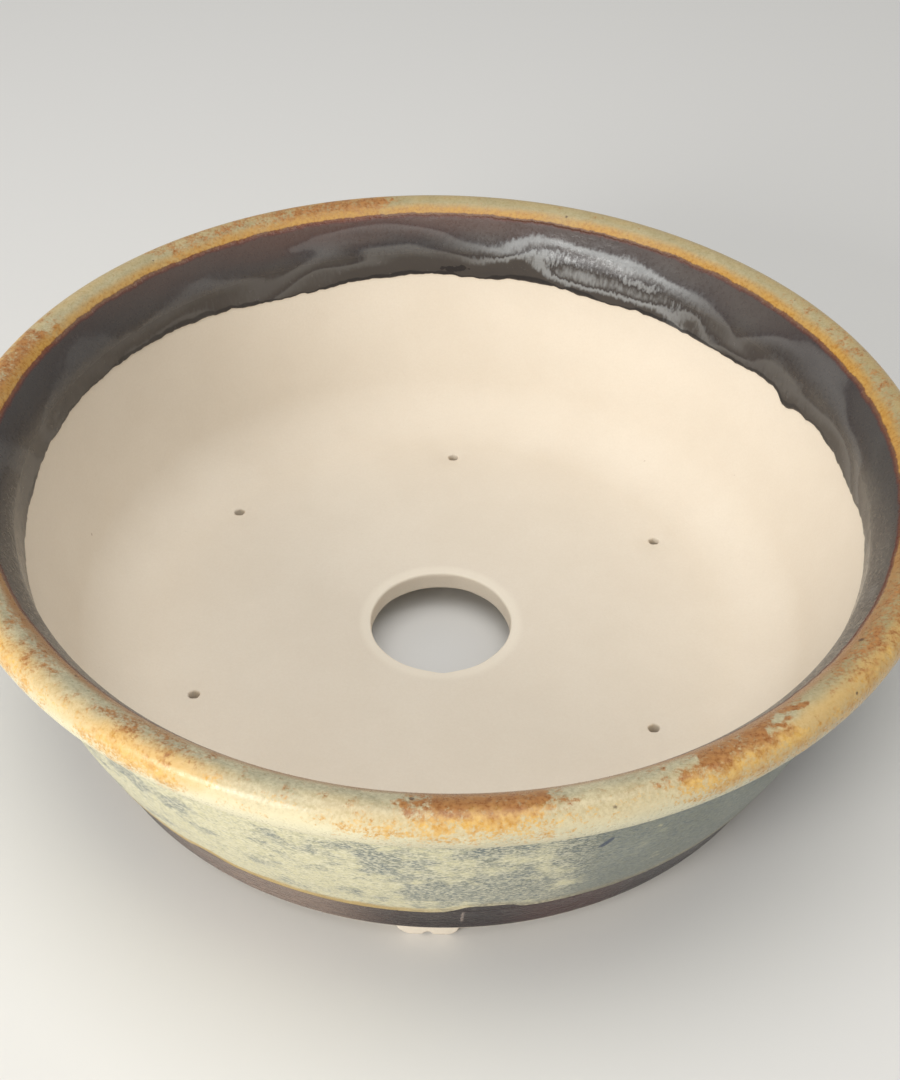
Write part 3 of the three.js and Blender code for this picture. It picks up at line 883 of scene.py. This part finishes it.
def straw_and_grey(nodes, where, fine, glints):
    """The outer wall's colour: grey-green, straw clouds, blue-grey grain, and pale level dashes that are
    partly the glaze's own and partly painted glints of light.
    """
    place = where["Place"]
    clouds = nodes.noise(nodes.stretch(place, (1.0, 1.0, 1.5)), 1 / 15, 51.0, detail=5, roughness=0.62)
    straw_amount = nodes.run(where["Turn"], STRAW)
    straw_level = nodes.plus(straw_amount, nodes.times_add(clouds, 2.0, -1.0))
    straw = nodes.fade(straw_level, 0.34, 0.66)
    soft = mottle(nodes, place, grain=20.0, lie=1.2, softness=0.25, seed=52.0)
    base = nodes.blend(soft, paint(116, 120, 107), paint(142, 145, 131))
    grain = mottle(nodes, place, grain=2.4, lie=3.0, softness=0.08, seed=53.0)
    base = nodes.blend(nodes.times(grain, 0.35), base, paint(112, 124, 128))
    colour = nodes.blend(nodes.times(straw, 0.8), base, paint(228, 220, 175))
    flecks = nodes.times(grain, fine)
    colour = nodes.blend(nodes.times(flecks, 0.5), colour, paint(92, 106, 114))
    # Painted highlight in part: the pale glints are the glaze's own fine dashes with painted glints of light
    # on them.
    calm = nodes.fade(straw_amount, 0.12, 0.36, 0.12, 0.62)
    return nodes.blend(nodes.times(glints, calm), colour, paint(228, 222, 194))


def add_hem(nodes, where, colour):
    """The colour with the ochre and the burnt line along the hem."""
    edge = past_edge(nodes)
    wander = nodes.noise(where["Place"], 1 / 10, 56.0, detail=4, roughness=0.6)
    hem_height = nodes.times_add(wander, -10.0, edge)
    ochre_side = nodes.band(degrees_round(nodes, where), -150.0, -122.0, -98.0, -84.0)
    warm_share = nodes.times_add(ochre_side, 0.75, 0.25)
    warm = nodes.times(nodes.fade(hem_height, -2.2, 0.6, 1.0, 0.0), warm_share)
    colour = nodes.blend(nodes.times(warm, 0.75), colour, paint(186, 150, 68))
    burnt = nodes.fade(edge, 0.35, 1.0, 1.0, 0.0)
    return nodes.blend(nodes.times(burnt, 0.85), colour, paint(62, 40, 32))


def wall_finish():
    """Outer wall glaze: grey-green with straw-yellow clouds, blue-grey grain, fine level streaks and painted
    shade under the rim.
    """
    material, nodes, shader = new_finish("wall_glaze")
    where = use_group(nodes, "place")
    place = where["Place"]
    fine = mottle(nodes, place, grain=1.0, lie=2.4, softness=0.12, seed=54.0)
    glints = mottle(nodes, place, grain=1.3, lie=3.0, softness=0.04, seed=55.0)
    colour = straw_and_grey(nodes, where, fine, glints)
    colour = nodes.blend(blue_fleck(nodes, where), colour, paint(52, 66, 92))
    colour = add_hem(nodes, where, colour)
    # Painted shade: the wall is darkened towards the top, under the rim's overhang.
    shade_under_rim = nodes.fade(where["Height"], 84.0, 95.0, 0.0, 0.25)
    nodes.put(shader.inputs["Base Color"], nodes.blend(shade_under_rim, colour, paint(128, 132, 116)))
    nodes.put(shader.inputs["Roughness"], nodes.fade(fine, 0.0, 1.0, 0.3, 0.5))
    lines = nodes.noise(nodes.stretch(place, (0.02, 0.02, 1.0)), 0.55, 57.0, detail=2)
    relief = nodes.times_add(glints, 0.5, nodes.times(lines, 1.6))
    raise_surface(nodes, shader, relief, 0.12)
    return material


def blue_fleck(nodes, where):
    """One slanting dark blue fleck high on the front of the wall."""
    spread = spot_spread(nodes, where, degrees=-71, height=75, radius=159, reach=(3.8, 1.4), lean=45)
    ragged = nodes.noise(where["Place"], 1 / 1.2, 58.0, detail=2)
    return nodes.fade(nodes.plus(spread, ragged), 0.7, 1.5, 0.85, 0.0)


# Turned pieces

Point = namedtuple("Point", "radius height surface slope bend mouth hem edge")
FIELDS = ["slope", "bend", "mouth", "hem", "edge", "surface"]


def point(radius, height, surface, slope=0.0, bend=0.0, mouth=0.0, hem=0.0, edge=9.0):
    """Point of a section. Surface is the kind of the stretch that starts here. Mouth and hem say how far the
    point moves with each glaze edge, on a wall of the given slope and bend. Edge is how far past one it is."""
    return Point(radius, height, surface, slope, bend, mouth, hem, edge)


class WallCurve:
    """Radius of a wall as a quadratic of height, through two points, standing off their chord by a bulge."""

    def __init__(self, low, high, bulge):
        self.low = low
        self.span = high[1] - low[1]
        self.rise = high[0] - low[0] + 4 * bulge
        self.fall = -4 * bulge

    def radius(self, height):
        share = (height - self.low[1]) / self.span
        return self.low[0] + self.rise * share + self.fall * share ** 2

    def point(self, height, surface, coat=0.0, **more):
        share = (height - self.low[1]) / self.span
        slope = (self.rise + 2 * self.fall * share) / self.span
        bend = self.fall / self.span ** 2
        return point(self.radius(height) + coat, height, surface, slope=slope, bend=bend, **more)


outer_wall = WallCurve((BAND_TOP_RADIUS, BAND_TOP), (WALL_TOP_RADIUS, WALL_TOP), WALL_BULGE)
cove_end = math.radians(COVE_END_SLOPE)
cove_centre = Vector((FLOOR_RADIUS, FLOOR_TOP + COVE_RADIUS))
cove_top = cove_centre + COVE_RADIUS * Vector((math.cos(cove_end), -math.sin(cove_end)))
inner_wall = WallCurve(cove_top, (WALL_TOP_RADIUS - WALL_THICKNESS, WALL_TOP), WALL_INNER_BULGE)


def cove_points():
    """Sweep from the floor up into the wall, starting on the joint with the floor slab."""
    points = [point(SLAB_EDGE, FLOOR_TOP, BARE)]
    for turn in steps(0, math.pi / 2 - cove_end, COVE_ROWS)[1:]:
        radius = cove_centre.x + COVE_RADIUS * math.sin(turn)
        points.append(point(radius, cove_centre.y - COVE_RADIUS * math.cos(turn), BARE))
    return points


def inner_wall_points():
    """Bare clay up to the mouth glaze's edge, then the coat: a bead, and thinner towards the top."""
    free_below = 60
    points = []
    for height in steps(cove_top.y, MOUTH_EDGE - 0.6, INNER_WALL_ROWS)[1:] + [MOUTH_EDGE - 0.2]:
        follow = share_of(height, free_below, MOUTH_EDGE - 1)
        points.append(inner_wall.point(height, BARE, mouth=follow))
    for above, thickness in MOUTH_BEAD:
        points.append(inner_wall.point(MOUTH_EDGE + above, MOUTH, -thickness, mouth=1.0, edge=above))
    bead_top = MOUTH_EDGE + MOUTH_BEAD[-1][0]
    bead_coat = MOUTH_BEAD[-1][1]
    for height in steps(bead_top, WALL_TOP, MOUTH_COAT_ROWS)[1:]:
        follow = 1 - share_of(height, bead_top, WALL_TOP)
        edge = height - MOUTH_EDGE
        points.append(inner_wall.point(height, MOUTH, -bead_coat * follow, mouth=follow, edge=edge))
    return points


def outer_wall_points():
    """Down the outside: the coat, its thick hem above the foot band, and the dark glaze under the hem."""
    free_above = 46
    points = []
    for height in steps(WALL_TOP, HEM_EDGE + 1.6, OUTER_WALL_ROWS):
        follow = 1 - share_of(height, HEM_EDGE + 2, free_above)
        thickness = COAT * share_of(WALL_TOP - height, 0, 4)
        points.append(outer_wall.point(height, COATED, thickness, hem=follow, edge=height - HEM_EDGE))
    for above, thickness in HEM_BEAD:
        points.append(outer_wall.point(HEM_EDGE + above, COATED, thickness, hem=1.0, edge=above))
    tip = BAND_TOP - 0.1
    for share, follow in [(0, 1.0), (0.3, 0.7), (0.7, 0.3)]:
        points.append(outer_wall.point(mix(HEM_EDGE, tip, share), HEM, UNDER_HEM, hem=follow))
    points.append(outer_wall.point(tip, BARE, UNDER_HEM))
    return points


def joint_dip(first, second):
    """Hidden face between two points on a joint, drawn back so that only the joint's edges touch."""
    start, end = Vector(first), Vector(second)
    along = (end - start).normalized()
    away = Vector((along.y, -along.x)) * JOINT_DEPTH
    inset = along * JOINT_INSET
    return [point(*(start + inset + away), BARE), point(*(end - inset + away), BARE)]


def wall_section():
    """The wall: up the inside, across the joint with the rim, down the outside and in under the slab."""
    inside = inner_wall_points()
    outside = outer_wall_points()
    top_in = (inside[-1].radius, WALL_TOP)
    top_out = (outside[0].radius, WALL_TOP)
    inside[-1] = inside[-1]._replace(surface=BARE)
    under = [
        point(BAND_TOP_RADIUS - BAND_THICKNESS - 0.3, BAND_TOP + 0.3, BARE),
        point(BAND_INNER_RADIUS - 0.25, FLOOR_BOTTOM, BARE),
        point(SLAB_EDGE, FLOOR_BOTTOM, BARE),
    ]
    rim_joint = joint_dip(top_in, top_out)
    slab_joint = joint_dip((SLAB_EDGE, FLOOR_BOTTOM), (SLAB_EDGE, FLOOR_TOP))
    return cove_points() + inside + rim_joint + outside + under + slab_joint


def oval_point(degrees):
    """Point on the rim's oval, counted from its lower outer side."""
    turn = math.radians(degrees)
    return (
        RIM_CENTRE
        + LEAN_DOWN * RIM_HALF_DEPTH * math.cos(turn)
        + LEAN_OUT * RIM_HALF_WIDTH * math.sin(turn)
    )


def curve_points(start, bend, end, count):
    """Points of a quadratic curve, without its first."""
    found = []
    for share in steps(0, 1, count)[1:]:
        found.append(start * (1 - share) ** 2 + bend * 2 * share * (1 - share) + end * share ** 2)
    return found


def flare_bend(start, end):
    """Where the wall's line, carried on upwards, meets the line along which the roll ends."""
    low = inner_wall.radius(WALL_TOP - 1)
    up_wall = Vector((start.x - low, 1))
    gap = end - start
    across = up_wall.x * LEAN_OUT.y - up_wall.y * LEAN_OUT.x
    return start + up_wall * ((gap.x * LEAN_OUT.y - gap.y * LEAN_OUT.x) / across)


def rim_section():
    """Up the flare from the wall, over the roll to the lower lip, and back under it to the wall."""
    start = Vector((inner_wall.radius(WALL_TOP), WALL_TOP))
    roll = [oval_point(turn) for turn in steps(180, RIM_LIP_TURN, RIM_ROWS)]
    flare = [start] + curve_points(start, flare_bend(start, roll[0]), roll[0], FLARE_ROWS)
    lip = roll[-1]
    under_height = WALL_TOP + 0.15
    lip_corner = Vector((lip.x - 0.25 * LIP_ROUND, under_height))
    lip_end = Vector((lip.x - 2 * LIP_ROUND, under_height))
    corner = Vector((WALL_TOP_RADIUS, WALL_TOP))
    fillet = [Vector((corner.x + 1.2, under_height)), Vector((corner.x + 0.35, under_height - 0.02)), corner]
    visible = flare[:-1] + roll + curve_points(lip, lip_corner, lip_end, LIP_ROWS) + fillet
    points = [point(*spot, COATED) for spot in visible]
    points[-1] = points[-1]._replace(surface=BARE)
    return points + joint_dip(corner, start)


def band_section():
    """The foot band: bare underneath and along its lowest edge, dark glaze up its slightly hollow face."""
    slope = BAND_FLARE / (BAND_TOP - BAND_BOTTOM)
    toe = BASE_RADIUS + BAND_CHAMFER * slope
    chamfer = curve_points(
        Vector((BASE_RADIUS - BAND_CHAMFER, BAND_BOTTOM)),
        Vector((BASE_RADIUS - 0.1, BAND_BOTTOM + 0.1)),
        Vector((toe, BAND_BOTTOM + BAND_CHAMFER)),
        4,
    )
    points = [
        point(BAND_INNER_RADIUS - 0.25, FLOOR_BOTTOM, BARE),
        point(BAND_INNER_RADIUS - 0.2, BAND_BOTTOM + 0.5, BARE),
        point(BAND_INNER_RADIUS + 0.3, BAND_BOTTOM, BARE),
        point(BASE_RADIUS - BAND_CHAMFER, BAND_BOTTOM, BARE),
    ]
    points += [point(*spot, BARE) for spot in chamfer]
    bare_top = BAND_BOTTOM + BAND_CHAMFER + 0.25
    points.append(point(BASE_RADIUS + (bare_top - BAND_BOTTOM) * slope, bare_top, COATED))
    top = BAND_TOP + 0.1
    for height in steps(bare_top + 0.25, top - 0.3, BAND_ROWS) + [top]:
        hollow = BAND_HOLLOW * math.sin(math.pi * share_of(height, bare_top, top))
        coat = BAND_COAT * share_of(top - height, 0, 0.6)
        radius = BASE_RADIUS + (height - BAND_BOTTOM) * slope
        points.append(point(radius + coat - hollow, height, COATED))
    points[-1] = points[-1]._replace(surface=BARE)
    points.append(point(BAND_TOP_RADIUS - 0.5, BAND_TOP - 0.15, BARE))
    points.append(point(BAND_TOP_RADIUS - BAND_THICKNESS, BAND_TOP - 0.15, BARE))
    return points


def section_object(name, section):
    """Line mesh of a section's points, in metres, with what the ring maker needs to know about each."""
    mesh = bpy.data.meshes.new(name)
    count = len(section)
    places = [(spot.radius * MM, 0, spot.height * MM) for spot in section]
    mesh.from_pydata(places, [(index, index + 1) for index in range(count - 1)], [])
    for field in FIELDS:
        values = [float(getattr(spot, field)) for spot in section]
        if field == "bend":
            values = [value / MM for value in values]
        mesh.attributes.new(field, "FLOAT", "POINT").data.foreach_set("value", values)
    return link_object(name, mesh)


class RingNodes(Nodes):
    """Nodes of the ring maker, which reads its section's fields and leaves fields on its ring."""

    def __init__(self, tree):
        super().__init__(tree)
        self.given = self.add("NodeGroupInput").outputs

    def named(self, field):
        """A field that the mesh carries."""
        node = self.add("GeometryNodeInputNamedAttribute", {"Name": field}, data_type="FLOAT")
        return node.outputs["Attribute"]

    def store(self, mesh, name, domain, value):
        """The mesh with one more field on it."""
        inputs = {"Geometry": mesh, "Name": name}
        node = self.add("GeometryNodeStoreNamedAttribute", inputs, domain=domain)
        self.put(node.inputs["Value"], value)
        return node.outputs[0]

    def sample(self, value, row, kind="FLOAT"):
        """A value of the section at the given row."""
        node = self.add("GeometryNodeSampleIndex", data_type=kind, domain="POINT")
        self.put(node.inputs["Geometry"], self.given["Section"])
        self.put(node.inputs["Value"], value)
        self.put(node.inputs["Index"], row)
        return node.outputs["Value"]

    def sampled(self, field, row):
        """One of the section's fields at the given row."""
        return self.sample(self.named(field), row)

    def whole(self, value, divisor):
        """How many whole times the divisor goes into a whole number."""
        return self.math("FLOOR", self.math("DIVIDE", self.plus(value, 0.5), divisor))

    def edge_lift(self, turn, circle, run, level, swing, seed, share):
        """How far a glaze edge lies above its level here, in metres. Share is its part of the rags."""
        height = self.run(turn, run, level - swing / 2, level + swing / 2)
        ragged = self.noise(circle, 22.0, seed, detail=4, roughness=0.6)
        rags = self.times(self.given["Ragged Edge"], share)
        tatters = self.times(self.minus(ragged, 0.5), rags)
        return self.plus(self.times(self.minus(height, 0.5), swing * MM), tatters)


def ring_lift(nodes, row, turn, circle):
    """How far a section point is lifted by the runs of the two glaze edges."""
    seed = nodes.given["Seed"]
    hem_seed = nodes.plus(seed, 1.0)
    mouth = nodes.edge_lift(turn, circle, MOUTH_RUN, MOUTH_EDGE, MOUTH_SWING, seed, 1.0)
    hem = nodes.edge_lift(turn, circle, HEM_RUN, HEM_EDGE, HEM_SWING, hem_seed, HEM_RAGS)
    mouth = nodes.times(nodes.sampled("mouth", row), mouth)
    hem = nodes.times(nodes.sampled("hem", row), hem)
    return nodes.plus(mouth, hem)


def ring_place(nodes, row, turn):
    """Where a section point goes at this turn: lifted along its wall, swollen a little and turned."""
    angle = nodes.times_add(turn, math.tau, -math.pi)
    cosine = nodes.math("COSINE", angle)
    sine = nodes.math("SINE", angle)
    circle = nodes.combine(cosine, sine, 0.0)
    lift = ring_lift(nodes, row, turn, circle)
    here = nodes.add("GeometryNodeInputPosition").outputs[0]
    start_radius, _, start_height = nodes.separate(nodes.sample(here, row, "FLOAT_VECTOR"))
    leaned = nodes.times_add(nodes.sampled("slope", row), lift, start_radius)
    squared = nodes.times(lift, lift)
    radius = nodes.times_add(nodes.sampled("bend", row), squared, leaned)
    height = nodes.plus(start_height, lift)

    where = nodes.vector("ADD", circle, nodes.combine(0.0, 0.0, nodes.times(height, 6.0)))
    hand = nodes.noise(where, 2.2, nodes.plus(nodes.given["Seed"], 2.0), detail=2)
    grip = nodes.fade(height, 0.03, 0.06)
    swell = nodes.times(nodes.minus(hand, 0.5), nodes.times(nodes.given["Wobble"], grip))
    radius = nodes.plus(radius, swell)
    return nodes.combine(nodes.times(radius, cosine), nodes.times(radius, sine), height)


def add_ring_sockets(tree):
    """The ring maker's inputs, in order, and its output."""
    inputs = [("Section", "Geometry"), ("Turn Steps", "Int")]
    inputs += [(label, "Float") for label in ("Ragged Edge", "Wobble", "Seed")]
    inputs += [(label, "Material") for label in SURFACE_SOCKETS]
    for label, kind in inputs:
        tree.interface.new_socket(label, in_out="INPUT", socket_type="NodeSocket" + kind)
    tree.interface.new_socket("Ring", in_out="OUTPUT", socket_type="NodeSocketGeometry")


def ring_maker_tree():
    """Turns a section into a closed ring. Rows that belong to a glaze edge follow its run round the pot."""
    tree = bpy.data.node_groups.new("thrown_ring", "GeometryNodeTree")
    tree.is_modifier = True
    add_ring_sockets(tree)
    nodes = RingNodes(tree)
    given = nodes.given
    out = nodes.add("NodeGroupOutput")

    size = nodes.add("GeometryNodeAttributeDomainSize", component="MESH")
    nodes.put(size.inputs["Geometry"], given["Section"])
    count = size.outputs["Point Count"]
    around = nodes.plus(given["Turn Steps"], 1)
    grid = nodes.add("GeometryNodeMeshGrid", {"Vertices X": nodes.plus(count, 1), "Vertices Y": around})
    index = nodes.add("GeometryNodeInputIndex").outputs[0]
    grid_row = nodes.whole(index, around)
    column = nodes.minus(index, nodes.times(grid_row, around))
    row = nodes.math("MODULO", grid_row, count)
    turn = nodes.math("DIVIDE", column, given["Turn Steps"])
    spot = ring_place(nodes, row, turn)
    placed = nodes.add("GeometryNodeSetPosition", {"Geometry": grid.outputs["Mesh"], "Position": spot})
    ring = nodes.store(placed.outputs[0], "past_edge", "POINT", nodes.sampled("edge", row))

    face_row = nodes.whole(index, given["Turn Steps"])
    surface_face = nodes.add("GeometryNodeFieldOnDomain", domain="FACE", data_type="FLOAT")
    nodes.put(surface_face.inputs[0], nodes.sampled("surface", face_row))
    ring = nodes.store(ring, "surface", "FACE", surface_face.outputs[0])
    weld = {"Geometry": ring, "Distance": WELD_DISTANCE * MM}
    merged = nodes.add("GeometryNodeMergeByDistance", weld)
    ring = nodes.add("GeometryNodeRealizeInstances", {"Geometry": merged.outputs[0]}).outputs[0]
    kind = nodes.named("surface")
    for number, label in enumerate(SURFACE_SOCKETS):
        chosen = nodes.math("COMPARE", kind, float(number), 0.1)
        inputs = {"Geometry": ring, "Selection": chosen, "Material": given[label]}
        ring = nodes.add("GeometryNodeSetMaterial", inputs).outputs[0]
    nodes.put(out.inputs["Ring"], ring)
    return tree


def drop_unused_materials(mesh):
    """Removes the material slots that no face uses."""
    used = {face.material_index for face in mesh.polygons}
    for slot in reversed(range(len(mesh.materials))):
        if slot not in used:
            mesh.materials.pop(index=slot)


def make_ring(tree, name, section, finishes):
    """One turned piece. Finishes are the materials of the kinds of surface that its section uses."""
    piece = section_object(name, section)
    modifier = piece.modifiers.new("thrown_ring", "NODES")
    modifier.node_group = tree
    values = {
        "Turn Steps": TURN_STEPS,
        "Ragged Edge": RAGGED_EDGE * MM,
        "Wobble": WOBBLE * MM,
        "Seed": SEED,
    }
    for number, label in enumerate(SURFACE_SOCKETS):
        values[label] = finishes.get(number, finishes[BARE])
    for item in tree.interface.items_tree:
        if item.in_out == "INPUT" and item.name in values:
            modifier[item.identifier] = values[item.name]
    bake_modifiers(piece)
    drop_unused_materials(piece.data)
    face_outwards(piece.data)
    return piece


# Floor slab

def circle_loop(centre, radius, count, waver=None):
    """Points round a hole or an edge. Waver gives how far each one stands off the circle."""
    loop = []
    for step in range(count):
        turn = math.tau * step / count
        reach = radius + (waver(turn) if waver else 0)
        loop.append(Vector((centre[0] + reach * math.cos(turn), centre[1] + reach * math.sin(turn))))
    return loop


def drain_waver(turn):
    """The drain hole was cut by hand: not quite round, with a small tear in its front edge."""
    oval = 0.16 * math.sin(2 * turn + 0.7)
    shake = 0.1 * math.sin(5 * turn + 2) + 0.06 * math.sin(11 * turn)
    tear = 0.55 * math.exp(-((math.degrees(turn) - 273) / 7) ** 2)
    return oval + shake + tear


def wire_waver(turn):
    """The wire holes are not quite round either."""
    return 0.12 * math.sin(2 * turn + 1) + 0.08 * math.sin(5 * turn)


def wire_centre(degrees, radius):
    """Middle of a wire hole."""
    turn = math.radians(degrees)
    return (radius * math.cos(turn), radius * math.sin(turn))


def hole_rows(centre, count, waver, rows):
    """Loops down a hole's wall, from (radius, height) rows."""
    made = []
    for radius, height in rows:
        loop = circle_loop(centre, radius, count, waver)
        made.append([Vector((spot.x, spot.y, height)) for spot in loop])
    return made


def drain_rows():
    """Down the drain hole: a small sponged lip, a straight wall and a small break at the bottom."""
    lip = curve_points(
        Vector((DRAIN_RADIUS + DRAIN_LIP, FLOOR_TOP)),
        Vector((DRAIN_RADIUS + 0.1, FLOOR_TOP)),
        Vector((DRAIN_RADIUS, FLOOR_TOP - DRAIN_LIP)),
        DRAIN_LIP_ROWS,
    )
    rows = [(DRAIN_RADIUS + DRAIN_LIP, FLOOR_TOP)] + [tuple(spot) for spot in lip]
    wall = steps(FLOOR_TOP - 2 * DRAIN_LIP, FLOOR_BOTTOM + 0.6, DRAIN_WALL_ROWS)
    rows += [(DRAIN_RADIUS - 0.05, height) for height in wall]
    return rows + [(DRAIN_RADIUS + 0.15, FLOOR_BOTTOM + 0.2), (DRAIN_RADIUS + 0.6, FLOOR_BOTTOM)]


def wire_rows():
    """Down a wire hole: the clay is flared and slightly torn where the drill broke in."""
    mouth = WIRE_HOLE_RADIUS + WIRE_HOLE_FLARE
    return [
        (mouth, FLOOR_TOP),
        (mix(mouth, WIRE_HOLE_RADIUS, 0.45), FLOOR_TOP - 0.12),
        (mix(mouth, WIRE_HOLE_RADIUS, 0.85), FLOOR_TOP - 0.45),
        (WIRE_HOLE_RADIUS, FLOOR_TOP - 1),
        (WIRE_HOLE_RADIUS, mix(FLOOR_TOP, FLOOR_BOTTOM, 0.5)),
        (WIRE_HOLE_RADIUS, FLOOR_BOTTOM + 0.5),
        (WIRE_HOLE_RADIUS + 0.25, FLOOR_BOTTOM),
    ]


def slab_edge_rows():
    """Round the slab's hidden edge, which touches the wall only along its two rims."""
    hidden = SLAB_EDGE - JOINT_DEPTH
    return [
        (SLAB_EDGE, FLOOR_TOP),
        (hidden, FLOOR_TOP - 0.5),
        (hidden, FLOOR_BOTTOM + 0.5),
        (SLAB_EDGE, FLOOR_BOTTOM),
    ]


def floor_slab(material):
    """Flat slab with the drain hole and the wire holes through it."""
    tubes = [hole_rows((0, 0), TURN_STEPS, None, slab_edge_rows())]
    tubes.append(hole_rows((0, 0), DRAIN_STEPS, drain_waver, drain_rows()))
    for degrees, radius in WIRE_HOLES:
        centre = wire_centre(degrees, radius)
        tubes.append(hole_rows(centre, WIRE_HOLE_STEPS, wire_waver, wire_rows()))
    shape = bmesh.new()
    made = [[[shape.verts.new(spot) for spot in row] for row in tube] for tube in tubes]
    for tube in made:
        for upper, lower in zip(tube, tube[1:]):
            for step in range(len(upper)):
                following = (step + 1) % len(upper)
                shape.faces.new((upper[step], upper[following], lower[following], lower[step]))
    for end in (0, -1):
        cover_slab(shape, [tube[end] for tube in made])
    for vertex in shape.verts:
        vertex.co *= MM
    mesh = bpy.data.meshes.new("clay_floor")
    shape.to_mesh(mesh)
    shape.free()
    mesh.materials.append(material)
    face_outwards(mesh)
    return link_object("clay_floor", mesh)


def cover_slab(shape, loops):
    """Fills a flat face of the slab between its edge and its holes with even triangles."""
    height = loops[0][0].co.z
    vertices = []
    edges = []
    owner = []
    for number, loop in enumerate(loops):
        first = len(vertices)
        vertices += loop
        owner += [number] * len(loop)
        edges += [(first + step, first + (step + 1) % len(loop)) for step in range(len(loop))]
    for radius, count in SLAB_RINGS:
        ring = circle_loop((0, 0), radius, count)
        vertices += [shape.verts.new((spot.x, spot.y, height)) for spot in ring]
        owner += [-1] * count
    flat = [Vector(vertex.co.xy) for vertex in vertices]
    triangles = delaunay_2d_cdt(flat, edges, [], 0, 1e-6)[2]
    for triangle in triangles:
        owners = {owner[corner] for corner in triangle}
        in_a_hole = len(owners) == 1 and owners.pop() > 0
        if not in_a_hole:
            shape.faces.new([vertices[corner] for corner in triangle])


# Feet

def foot_half_width(height, top):
    """Half the width of a foot: rounded toes, a waist above the shoulder, then a sweep out to the floor."""
    toe = FOOT_BOTTOM_WIDTH / 2
    shoulder = FOOT_SHOULDER_WIDTH / 2
    if height < FOOT_SHOULDER_HEIGHT:
        share = height / FOOT_SHOULDER_HEIGHT
        return mix(toe, shoulder, math.sin(share * math.pi / 2) ** 0.8)
    share = share_of(height, FOOT_SHOULDER_HEIGHT, top)
    return mix(shoulder, FOOT_TOP_WIDTH / 2, share ** 1.7)


def foot_point(across, up, depth, top):
    """Point of the foot block: across from -1 to 1, up and depth from 0 to 1, depth 0 at the outer face."""
    behind = depth * FOOT_DEPTH
    arch = max(0, 1 - (behind / FOOT_NOTCH_DEPTH) ** 4) if behind < FOOT_NOTCH_DEPTH else 0
    side = across * FOOT_BOTTOM_WIDTH / FOOT_NOTCH_WIDTH
    sole = FOOT_NOTCH_HEIGHT * arch * max(0, 1 - abs(side) ** 1.5)
    height = mix(sole, top, up)
    sideways = across * foot_half_width(height, top)
    radius = FOOT_OUTER_RADIUS - behind
    return Vector((math.sqrt(radius ** 2 - sideways ** 2), sideways, height))


def foot_block(top):
    """Closed block of one foot, in millimetres, with its outer face towards +X."""
    across_steps, up_steps, depth_steps = FOOT_STEPS
    shape = bmesh.new()
    found = {}

    def corner(i, j, k):
        """The block's vertex at this step across, up and in."""
        key = (i, j, k)
        if key not in found:
            spot = foot_point(2 * i / across_steps - 1, j / up_steps, k / depth_steps, top)
            found[key] = shape.verts.new(spot)
        return found[key]

    def patch(*places):
        shape.faces.new([corner(*place) for place in places])

    for i in range(across_steps):
        for j in range(up_steps):
            for k in (0, depth_steps):
                patch((i, j, k), (i + 1, j, k), (i + 1, j + 1, k), (i, j + 1, k))
        for k in range(depth_steps):
            for j in (0, up_steps):
                patch((i, j, k), (i + 1, j, k), (i + 1, j, k + 1), (i, j, k + 1))
    for j in range(up_steps):
        for k in range(depth_steps):
            for i in (0, across_steps):
                patch((i, j, k), (i, j + 1, k), (i, j + 1, k + 1), (i, j, k + 1))
    return shape


def foot(name, degrees, material):
    """One foot, cut from a block and smoothed with a wet finger."""
    shape = foot_block(FLOOR_BOTTOM + 0.1)
    bmesh.ops.recalc_face_normals(shape, faces=shape.faces)
    shape.transform(Matrix.Rotation(math.radians(degrees), 4, "Z") @ Matrix.Scale(MM, 4))
    mesh = bpy.data.meshes.new(name)
    shape.to_mesh(mesh)
    shape.free()
    piece = link_object(name, mesh)
    remesh = piece.modifiers.new("even", "REMESH")
    remesh.mode = "VOXEL"
    remesh.voxel_size = FOOT_VOXEL * MM
    smooth = piece.modifiers.new("wet_finger", "SMOOTH")
    smooth.factor = 0.5
    smooth.iterations = FOOT_SMOOTHING
    bake_modifiers(piece)
    piece.data.materials.clear()
    piece.data.materials.append(material)
    face_outwards(piece.data)
    return piece


# The pot

def hand_in(piece, node):
    """Says what a finished piece stands for."""
    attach(piece, "root")
    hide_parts(node)


def make_pot():
    """Every piece, with its finishes and what it stands for."""
    clay = clay_finish()
    band_glaze = band_finish()
    tree = ring_maker_tree()
    wall_finishes = {BARE: clay, COATED: wall_finish(), MOUTH: mouth_finish(), HEM: band_glaze}
    hand_in(floor_slab(clay), "floor_slab")
    hand_in(make_ring(tree, "thrown_wall", wall_section(), wall_finishes), "wall")
    rim = make_ring(tree, "rolled_rim", rim_section(), {BARE: clay, COATED: rim_finish()})
    hand_in(rim, "rim")
    band = make_ring(tree, "plinth_band", band_section(), {BARE: clay, COATED: band_glaze})
    hand_in(band, "foot_band")
    for number, node in enumerate(FEET):
        degrees = FRONT_FOOT_ANGLE + number * 360 / len(FEET)
        hand_in(foot(node + "_clay", degrees, clay), node)


make_camera()
make_studio()
make_floor()
make_pot()
